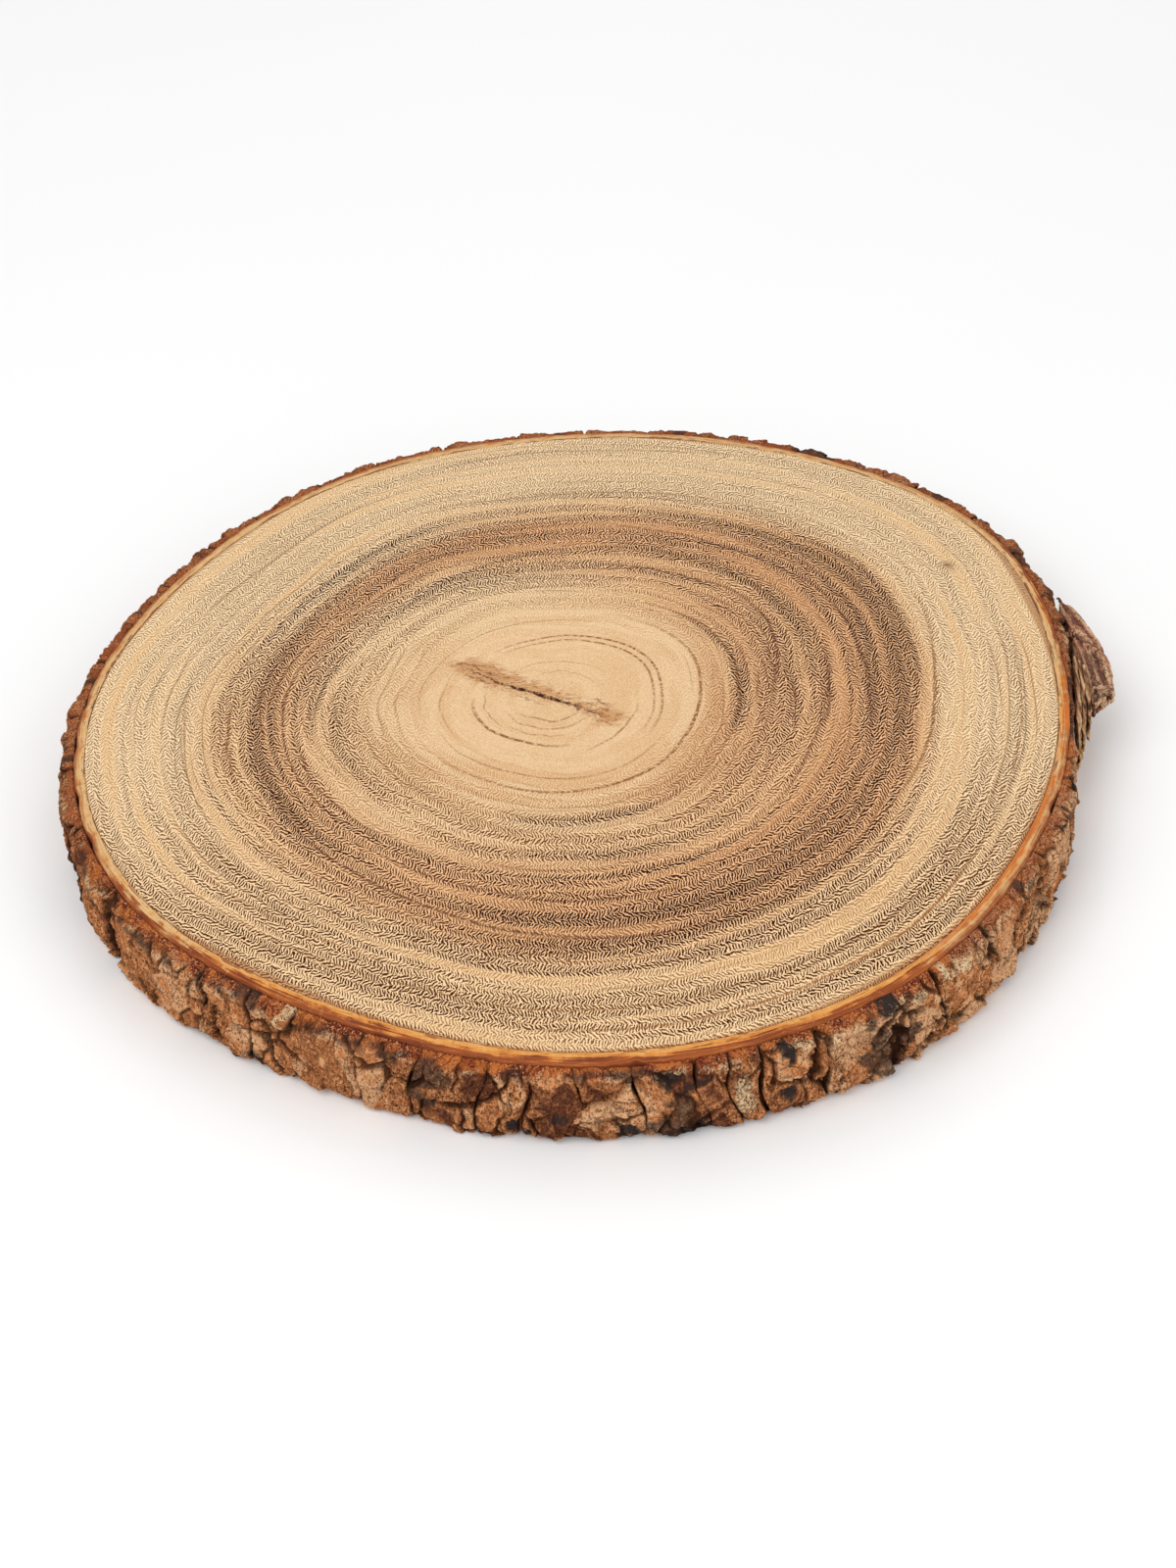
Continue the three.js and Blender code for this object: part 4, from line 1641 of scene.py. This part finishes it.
@dataclass
class BarkPlates:
    """The plates of outer bark between the fissures."""

    outline: TrunkOutline
    skin: tuple[np.ndarray, np.ndarray] = (np.zeros(1), np.zeros(1))
    voxel_front: float = 0.42
    voxel_back: float = 0.55
    smoothing: int = 3
    girth: float = 148.0
    seat: float = 0.35
    flake_size: tuple[float, float] = (9.0, 12.0)
    small_flake_size: tuple[float, float] = (3.4, 4.6)
    flake_step: float = 1.3
    small_flake_step: float = 0.6
    flake_slope: float = 1.8
    small_flake_slope: float = 0.5
    grain_height: float = 0.5
    crack_depth: float = 0.9
    lift_range: tuple[float, float] = (-2.6, 1.3)
    fissure_depth: float = 2.2
    soot_depth: float = 0.7
    chunk_lift: float = 0.5
    scrape_lift: float = 0.4
    warp: float = 2.2
    strip_lean: float = 28.0
    calm_stretch: Sequence[float] = (204.0, 214.0, 244.0, 256.0)
    strip_stretch: Sequence[float] = (304.0, 316.0, 344.0, 352.0)
    bold_stretch: Sequence[float] = (254.0, 262.0, 284.0, 294.0)
    peeled_stretch: Sequence[float] = (336.0, 342.0, 354.0, 360.0)
    shade_by_angle: Sequence[tuple[float, float]] = (
        (0, 0.10), (30, -0.06), (120, -0.06), (160, -0.18), (204, -0.16), (214, 0.22), (246, 0.26),
        (258, -0.26), (280, -0.26), (288, 0.30), (300, 0.46), (325, 0.48), (345, 0.36), (360, 0.10),
    )
    marks: Sequence[BarkMark] = (
        BarkMark(MarkKind.CHOCOLATE, 264.9, 13, 5.2, 9),
        BarkMark(MarkKind.SOOT, 261.3, 5, 3.0, 5),
        BarkMark(MarkKind.SOOT, 275.8, 21, 3.4, 3.2),
        BarkMark(MarkKind.SOOT, 271.9, 4, 4.0, 4.4),
        BarkMark(MarkKind.SOOT, 278.2, 2, 3.2, 3.6),
        BarkMark(MarkKind.CREAM, 283.3, 13, 1.9, 7),
        BarkMark(MarkKind.ORANGE, 264.8, 23, 6.0, 2.2),
        BarkMark(MarkKind.ORANGE, 275.9, 10, 5.0, 5.5),
        BarkMark(MarkKind.SOOT, 298.8, 23, 3.2, 2.6),
        BarkMark(MarkKind.FISSURE, 299.2, 9, 1.8, 9),
        BarkMark(MarkKind.FISSURE, 304.5, 9, 1.6, 8),
        BarkMark(MarkKind.CREAM, 307.5, 23, 4.5, 1.8),
        BarkMark(MarkKind.FISSURE, 313.1, 20, 1.8, 7),
        BarkMark(MarkKind.SOOT, 287.4, 22, 2.2, 3.6),
        BarkMark(MarkKind.FISSURE, 290.5, 15, 1.5, 12),
        BarkMark(MarkKind.SOOT, 287.6, 8, 2.2, 3.6),
        BarkMark(MarkKind.CREAM, 236.2, 23, 2.6, 1.3),
        BarkMark(MarkKind.FISSURE, 225.4, 18, 1.2, 6),
        BarkMark(MarkKind.FISSURE, 227.0, 7, 1.6, 7),
        BarkMark(MarkKind.SOOT, 232.4, 3, 3.0, 3.4),
        BarkMark(MarkKind.FISSURE, 209.0, 12, 3.2, 16),
        BarkMark(MarkKind.SOOT, 340.0, 22, 4.0, 2.6),
        BarkMark(MarkKind.SOOT, 345.5, 20, 3.0, 3.0),
        BarkMark(MarkKind.SOOT, 333.0, 23, 3.0, 2.0),
    )

    def build(self) -> None:
        """Models and dresses every plate."""
        nodes = sorted(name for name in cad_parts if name.startswith("bark_plate_"))
        self.skin = self.skin_radius(nodes)
        for node in nodes:
            piece = copy_of_node(node, node.replace("bark_plate", "weathered_plate"))
            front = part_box(node)[0].y < 0
            refine(piece, self.voxel_front if front else self.voxel_back, self.smoothing)
            self.weather(piece)
            shade_softly(piece)
            hand_over(piece, "bark_skin", [node])

    def skin_radius(self, nodes: Sequence[str]) -> tuple[np.ndarray, np.ndarray]:
        """How far the bark reaches by angle, over worn edges and fissures.

        Args:
            nodes: the CAD plates.

        Returns:
            The angles and the radii.
        """
        points = np.concatenate([points_of(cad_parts[node]) for node in nodes])
        angle = self.outline.bearing(points)
        radius = np.hypot(points[:, 0], points[:, 1])
        middles = np.radians(np.arange(0, 360, 3.0))
        reach = []
        for middle in middles:
            near = abs((angle - middle + math.pi) % (2 * math.pi) - math.pi) < math.radians(3.5)
            reach.append(np.quantile(radius[near], 0.93))
        return middles, np.array(reach)

    def flakes(self, spread: np.ndarray, size: tuple[float, float], seed: float) -> tuple[np.ndarray, ...]:
        """Parts the bark into flakes with straight edges.

        Args:
            spread: each point's place round the trunk and its height.
            size: a flake's usual width and height.
            seed: shifts the pattern.

        Returns:
            How far each point lies from its flake's edge, the flake's own number from 0 to 1,
            and how high the point lies on the flake's slope.
        """
        edge, own, slope = [], [], []
        for spot in (spread / np.array([*size, 1.0]) + seed).tolist():
            distances, places = noise.voronoi(spot)
            edge.append(distances[1] - distances[0])
            own.append(math.sin(places[0].x * 127.1 + places[0].y * 311.7) * 43758.5453 % 1.0)
            way = own[-1] * 7 * math.pi
            slope.append((spot[0] - places[0].x) * math.cos(way) + (spot[1] - places[0].y) * math.sin(way))
        return np.array(edge), np.array(own), np.array(slope)

    def strips(self, spread: np.ndarray, degrees: np.ndarray) -> np.ndarray:
        """Long cracks that lean along the rim at the right.

        Args:
            spread: each point's place round the trunk and its height.
            degrees: each point's angle.

        Returns:
            How far each point lies in a crack, 0 to 1.
        """
        lean = math.radians(self.strip_lean)
        onward = spread[:, 0] * math.cos(lean) + spread[:, 1] * math.sin(lean)
        across = spread[:, 1] * math.cos(lean) - spread[:, 0] * math.sin(lean)
        wave = noise_at(np.column_stack([across, onward, 0 * onward]), (0.26, 0.035, 1), 36.0, 2)
        return along_rim(degrees, self.strip_stretch) * ease(-abs(wave), -0.11, -0.04)

    def weather(self, piece: bpy.types.Object) -> None:
        """Cracks, flakes and roughens one plate and marks its colours.

        Args:
            piece: the plate, finely meshed.
        """
        surface = BarkSurface.read(piece, self.outline, self.girth)
        pattern = self.pattern(surface)
        self.raise_flakes(surface, pattern.lift)
        self.wear_edges(surface)
        move_points(piece, surface.points)
        self.mark_colours(piece, surface, pattern)

    def pattern(self, surface: BarkSurface) -> BarkPattern:
        """Lays out a plate's flakes, cracks and marks.

        Args:
            surface: the plate's surface.

        Returns:
            The pattern.
        """
        spread, degrees = surface.spread, np.degrees(surface.angle)
        level = np.zeros(len(spread))
        bends = [self.warp * noise_at(spread, (0.10, 0.10, 1), seed, 3) for seed in (21.0, 22.0)]
        crumbs = [noise_at(spread, (0.45, 0.45, 1), seed, 3) for seed in (34.0, 35.0)]
        warp = np.column_stack([*bends, level])
        edge, own, slope = self.flakes(spread + warp, self.flake_size, 3.7)
        small_edge, small_own, small_slope = self.flakes(spread + 0.5 * warp, self.small_flake_size, 8.1)
        calm = along_rim(degrees, self.calm_stretch)
        crack = ease(-edge, -0.10, -0.02) * ease(noise_at(spread, (0.07, 0.07, 1), 24.0), -0.35, 0.25)
        crack = np.maximum(crack, 0.45 * ease(-small_edge, -0.10, -0.02) * ease(small_own, 0.5, 0.7))
        crack = np.maximum(crack, 0.9 * self.strips(spread, degrees)) * (1 - 0.1 * calm)
        lift = self.flake_step * (own - 0.5) + self.small_flake_step * (small_own - 0.5)
        lift = lift * (1 - 0.5 * calm) + self.grain_height * noise_at(spread, (0.5, 0.34, 1), 26.0, 4)
        lift -= self.crack_depth * crack
        lift += (self.flake_slope * slope + self.small_flake_slope * small_slope) * (1 - 0.4 * calm)
        cover = self.covered(spread + 0.9 * warp + 1.4 * np.column_stack([*crumbs, level]))
        lift = np.clip(lift, *self.lift_range)
        lift -= self.fissure_depth * cover[MarkKind.FISSURE] + self.soot_depth * cover[MarkKind.SOOT]
        lift += self.chunk_lift * cover[MarkKind.CHOCOLATE] + self.scrape_lift * cover[MarkKind.CREAM]
        # The last term is a painted highlight: a paler line just inside each flake's edge, as if the edges
        # catch the light.
        shade = own + 0.35 * (small_own - 0.5) + 0.25 * ease(-abs(edge - 0.15), -0.07, -0.02)
        return BarkPattern(crack, calm, lift, shade, cover)

    def covered(self, spread: np.ndarray) -> dict[MarkKind, np.ndarray]:
        """Finds which marks cover each point.

        Args:
            spread: each point's place round the trunk and its height.

        Returns:
            The strength of each kind of mark, 0 to 1.
        """
        cover = {kind: np.zeros(len(spread)) for kind in MarkKind}
        for one in self.marks:
            cover[one.kind] = np.maximum(cover[one.kind], one.over(spread, self.girth))
        return cover

    def raise_flakes(self, surface: BarkSurface, lift: np.ndarray) -> None:
        """Draws a plate's face out to the bark's reach and lifts its flakes.

        Args:
            surface: the plate's surface, whose points are moved.
            lift: how far each point is lifted.
        """
        height = surface.points[:, 2]
        middle = ease(height, 0.8, 3.5) * ease(surface.top - height, 0.6, 3.0)
        short = np.interp(surface.angle, *self.skin, period=2 * math.pi) - surface.radius
        push = surface.face * (lift + short * (0.25 + 0.6 * middle))
        surface.points[:] += surface.out * push[:, None]

    def wear_edges(self, surface: BarkSurface) -> None:
        """Narrows a plate's fissures, crumbles its rims and seats it on the bast.

        Args:
            surface: the plate's surface, whose points are moved.
        """
        points, spread, sideways = surface.points, surface.spread, surface.sideways
        closing = 0.55 + 0.8 * noise_at(spread, (0.06, 0.09, 1), 27.0, 2)
        closing = np.sign(sideways) * ease(abs(sideways), 0.3, 0.9) * closing
        points += surface.round_way * closing[:, None]
        worn_foot = np.clip(0.9 * noise_at(spread, (0.18, 0.1, 1), 28.0, 3) + 0.3, 0, 1.6)
        points[:, 2] += ease(-points[:, 2], -3.5, -0.2) * surface.depth * worn_foot
        crumble = np.clip(0.8 * noise_at(spread, (0.35, 0.1, 1), 30.0, 3), -1.2, 0.2)
        points[:, 2] += ease(points[:, 2] - surface.top, -2.5, -0.5) * surface.depth * crumble
        crest = ease(points[:, 2] - surface.top, -2.4, -0.8) * ease(surface.normals[:, 2], 0.1, 0.7)
        points[:, 2] += self.seat * crest * ease(-surface.beside, -3.0, -0.6)
        points -= surface.out * (self.seat * ease(-surface.facing, 0.3, 0.8))[:, None]

    def mark_colours(self, piece: bpy.types.Object, surface: BarkSurface, pattern: BarkPattern) -> None:
        """Marks a plate's colours.

        Args:
            piece: the plate.
            surface: its surface, worn.
            pattern: its flakes, cracks and marks.
        """
        spread, cover, degrees = surface.spread, pattern.cover, np.degrees(surface.angle)
        above = surface.points[:, 2] - surface.top
        ragged = 1.5 * noise_at(spread, (0.14, 0.14, 1), 33.0, 4)
        lap = ease(-(surface.beside + ragged), -3.6, -2.4) * ease(above + 0.6 * ragged, -3.2, -1.8)
        # Walls inside the fissures, facing round the trunk and inward: they get painted shade below.
        shaded_wall = ease(abs(surface.sideways), 0.45, 0.9) * ease(-surface.facing, -0.75, -0.2)
        upper = ease(above, -1.8, -0.4) * ease(surface.normals[:, 2], 0.2, 0.8)
        torn = ease(above, -4.5, -1.5) * (1 - upper)
        chip = torn * ease(noise_at(spread, (0.12, 0.25, 1), 29.0, 3), 0.10, 0.35) * surface.face
        soot = torn * ease(noise_at(spread, (0.09, 0.2, 1), 31.0, 3), 0.12, 0.35)
        soot = np.maximum(soot, ease(noise_at(spread, (0.05, 0.06, 1), 32.0, 3), 0.38, 0.5))
        reddened = 0.15 + 0.85 * ease(-np.sin(surface.angle), 0.15, 0.6)
        reddened = reddened * (1 - 0.75 * ease(degrees, 300, 318))
        peeled = upper * along_rim(degrees, self.peeled_stretch)
        # Painted shade: the fissure walls, the plate's cracks and the deep fissures are painted near-black,
        # as if shade falls in them.
        cavity_shade = pattern.crack * surface.face + shaded_wall + cover[MarkKind.FISSURE]
        mark(piece, "cavity_shade", np.clip(cavity_shade, 0, 1) * 0.9)
        mark(piece, "upper", upper)
        mark(piece, "lap", np.maximum(lap * (1 - shaded_wall) * reddened, 0.8 * peeled))
        mark(piece, "cream", np.clip(chip * (1 - pattern.crack) * 0.8 + cover[MarkKind.CREAM], 0, 1))
        mark(piece, "soot", np.clip(soot * 0.8 + cover[MarkKind.SOOT], 0, 1))
        mark(piece, "flake", self.shades(degrees, pattern))

    def shades(self, degrees: np.ndarray, pattern: BarkPattern) -> np.ndarray:
        """Gives each flake its shade, which also depends on its place on the rim.

        Args:
            degrees: each point's angle.
            pattern: the plate's flakes, cracks and marks.

        Returns:
            How pale each point is.
        """
        contrast = 0.8 - 0.2 * pattern.calm + 0.6 * along_rim(degrees, self.bold_stretch)
        flake = 0.5 + (pattern.shade - 0.5) * contrast
        flake = flake + np.interp(degrees, *zip(*self.shade_by_angle))
        for kind, shade in ((MarkKind.CHOCOLATE, 0.05), (MarkKind.ORANGE, 0.9)):
            flake = flake * (1 - pattern.cover[kind]) + shade * pattern.cover[kind]
        return flake


@dataclass
class PeelingScale:
    """The thick flake of old bark that stands off the trunk at the right."""

    voxel: float = 0.36
    smoothing: int = 2
    girth: float = 151.0
    inside: float = 148.4
    split_turn: float = 7.2
    split_slope: float = -0.48
    end_turn: float = -2.4
    swell: float = 2.2
    swell_turn: float = 6.2
    swell_spread: float = 3.2
    far_tear: float = 2.6

    def build(self) -> None:
        """Models and dresses the flake."""
        piece = copy_of_node("peeling_scale", "peeled_flake")
        refine(piece, self.voxel, self.smoothing)
        self.weather(piece)
        shade_softly(piece)
        hand_over(piece, "old_bark_skin", ["peeling_scale"])

    def weather(self, piece: bpy.types.Object) -> None:
        """Splits the flake along its layers, breaks its end and marks its colours.

        Args:
            piece: the flake, finely meshed.
        """
        points, normals = points_of(piece), normals_of(piece)
        turn = np.degrees(np.arctan2(points[:, 1], points[:, 0]))
        radius = np.hypot(points[:, 0], points[:, 1])
        along = np.radians(turn) * self.girth
        spread = np.column_stack([radius, along, points[:, 2]])
        wave = noise_at(spread, (0.25, 0.12, 0.2), 44.0, 3)
        layer = noise_at(spread, (0.75, 0.055, 0.16), 41.0, 3)
        split = self.split_turn + self.split_slope * (radius - self.inside) + 0.7 * wave - turn
        split = ease(-abs(split), -0.42, -0.10)
        seam = ease(-abs(noise_at(spread, (0.34, 0.035, 0.05), 42.0, 2)), -0.06, -0.015)
        broken = ease(-turn, -self.end_turn - 1.2, -self.end_turn + 0.6)
        shard = noise_at(spread, (0.55, 0.5, 0.5), 45.0, 3)
        crack = np.clip(np.maximum(split, 0.8 * seam), 0, 1)
        points += normals * (0.35 * layer - 1.1 * crack + 0.9 * broken * np.clip(shard, -1.2, 0.3))[:, None]
        swell = self.swell * np.exp(-(((turn - self.swell_turn) / self.swell_spread) ** 2))
        swell = swell * ease(radius - self.inside, 1.5, 5.0)
        points[:, 0] += swell
        far = ease(turn, turn.max() - 1.8, turn.max() - 0.3)
        torn_back = np.clip(0.5 + 1.4 * noise_at(spread, (0.3, 0.05, 0.3), 46.0, 3), 0, 1)
        torn_back = self.far_tear * far * torn_back
        round_way = np.column_stack([-points[:, 1], points[:, 0]]) / radius[:, None]
        points[:, :2] -= round_way * torn_back[:, None]
        move_points(piece, points)
        upper = ease(normals[:, 2], 0.35, 0.8)
        rim = ease(radius + swell - self.inside - wave, 3.6, 6.0)
        dark = upper * ease(self.split_turn - 3.0 - turn, 0.0, 1.2) * (1 - rim) * ease(wave, -0.5, 0.2)
        # A painted highlight: a paler stripe on the top face just past the split.
        lit = ease(turn - self.split_turn, -0.2, 0.5) * ease(self.split_turn + 2.4 - turn, 0.0, 1.0) * upper
        # Painted shade: the split cracks and the sunken parts of the broken end are painted near-black.
        mark(piece, "cavity_shade", 0.9 * np.maximum(crack, broken * ease(-shard, 0.12, 0.4)))
        mark(piece, "upper", 0.4 * upper * (1 - rim) * (1 - lit))
        mark(piece, "lap", np.zeros(len(points)))
        cream = np.maximum(0.8 * broken * ease(shard, 0.05, 0.35), 0.35 * rim * ease(layer, 0.0, 0.4))
        mark(piece, "cream", cream)
        mark(piece, "soot", 0.5 * dark)
        mark(piece, "flake", 0.55 + 1.6 * layer + 0.45 * rim + 0.2 * broken + 0.5 * lit - 0.3 * dark)


@dataclass
class Splinters:
    """Strips of torn bast between the trunk and the flake, frayed beyond its broken end."""

    voxel: float = 0.26
    smoothing: int = 2
    thread_depth: float = 0.34
    fray_from: Sequence[float] = (-9.0, -6.5, -5.0)
    fray_reach: float = 3.5
    fray_rise: float = 2.2
    fray_sway: float = 0.9

    def build(self) -> None:
        """Models and dresses each strip."""
        for number, fray in enumerate(self.fray_from, start=1):
            node = f"bast_splinter_{number}"
            piece = copy_of_node(node, f"torn_strip_{number}")
            refine(piece, self.voxel, self.smoothing)
            points, normals = points_of(piece), normals_of(piece)
            turn = np.degrees(np.arctan2(points[:, 1], points[:, 0]))
            thread = noise_at(points, (1.1, 0.10, 0.8), 51.0 + number, 3)
            tip = ease(-turn, -fray, -fray + self.fray_reach)
            points += normals * (self.thread_depth * thread * (1 + 0.8 * tip))[:, None]
            points[:, 2] += tip * self.fray_rise * noise_at(points, (0.9, 0.05, 0.35), 55.0 + number)
            points[:, 0] += tip * self.fray_sway * noise_at(points, (0.5, 0.12, 0.6), 58.0 + number)
            move_points(piece, points)
            mark(piece, "thread", thread)
            shade_softly(piece)
            hand_over(piece, "torn_fibre", [node])


@dataclass
class Studio:
    """Pale floor, soft light and the camera."""

    elevation: float = 39.45
    roll: float = -3.55
    distance: float = 785.6
    target: tuple[float, float, float] = (-0.075, -7.41, 0.0)
    lens: float = 60.75
    floor_side: float = 8.0
    ambient: float = 0.62
    soft_boxes: Sequence[tuple[str, tuple[float, float, float], float, float]] = (
        ("key_light", (-0.55, -0.55, 1.15), 1.0, 7.5),
        ("fill_light", (0.75, -0.75, 0.75), 0.9, 3.4),
        ("back_light", (0.1, 0.9, 1.0), 1.0, 3.0),
    )

    def build(self) -> None:
        """Sets up the floor, the lights and the camera."""
        bpy.ops.object.select_all(action="DESELECT")
        bpy.ops.mesh.primitive_plane_add(size=self.floor_side, location=(0, 0, -0.05 * MM))
        floor = bpy.context.object
        floor.name = "studio_floor"
        floor.data.materials.append(PaleFloor().make())
        world = bpy.data.worlds.new("studio_light")
        world.use_nodes = True
        sky = world.node_tree.nodes["Background"]
        sky.inputs["Color"].default_value = (1, 1, 1, 1)
        sky.inputs["Strength"].default_value = self.ambient
        bpy.context.scene.world = world
        for soft_box in self.soft_boxes:
            self.hang(*soft_box)
        self.camera()
        bpy.context.scene.view_settings.view_transform = "Standard"
        LOG.info("studio: floor, three soft lights, camera")

    def hang(self, name: str, place: Sequence[float], side: float, power: float) -> None:
        """Adds one square soft light that faces the board.

        Args:
            name: the light's name.
            place: its place in metres.
            side: its width in metres.
            power: its power in watts.
        """
        data = bpy.data.lights.new(name, "AREA")
        data.size = side
        data.energy = power
        lamp = bpy.data.objects.new(name, data)
        lamp.location = place
        lamp.rotation_euler = (-Vector(place)).to_track_quat("-Z", "Y").to_euler()
        bpy.context.scene.collection.objects.link(lamp)

    def camera(self) -> None:
        """Adds the camera at the photograph's place."""
        rise, roll = math.radians(self.elevation), math.radians(self.roll)
        back = Vector((0, -math.cos(rise), math.sin(rise)))
        right = Vector((1, 0, 0))
        up = Vector((0, math.sin(rise), math.cos(rise)))
        turned_right = right * math.cos(roll) + up * math.sin(roll)
        turned_up = up * math.cos(roll) - right * math.sin(roll)
        data = bpy.data.cameras.new("camera")
        data.lens = self.lens
        data.sensor_width = 36.0
        data.clip_start = 0.01
        camera = bpy.data.objects.new("camera", data)
        place = (Vector(self.target) + back * self.distance) * MM
        turn = Matrix((turned_right, turned_up, back)).transposed().to_4x4()
        camera.matrix_world = Matrix.Translation(place) @ turn
        bpy.context.scene.collection.objects.link(camera)
        bpy.context.scene.camera = camera


def main() -> None:
    """Builds the finishes, the board's pieces and the studio."""
    logging.basicConfig(level=logging.INFO, format="%(message)s")
    growth_lines()
    weathered_skin()
    old_bark = BarkSkin(
        name="old_bark_skin",
        chocolate=colour(104, 66, 54),
        brown=colour(172, 116, 90),
        orange=colour(208, 148, 112),
        tan=colour(240, 194, 154),
        top=colour(156, 104, 84),
        grit=colour(58, 30, 24),
    )
    for finish in (SawnWood(), SandedBast(), BarkSkin(), old_bark, TornFibre()):
        finish.make()
    outline = TrunkOutline()
    WoodSlab(outline).build()
    BastRing(outline).build()
    BarkPlates(outline).build()
    PeelingScale().build()
    Splinters().build()
    Studio().build()


if __name__ == "__main__":
    main()
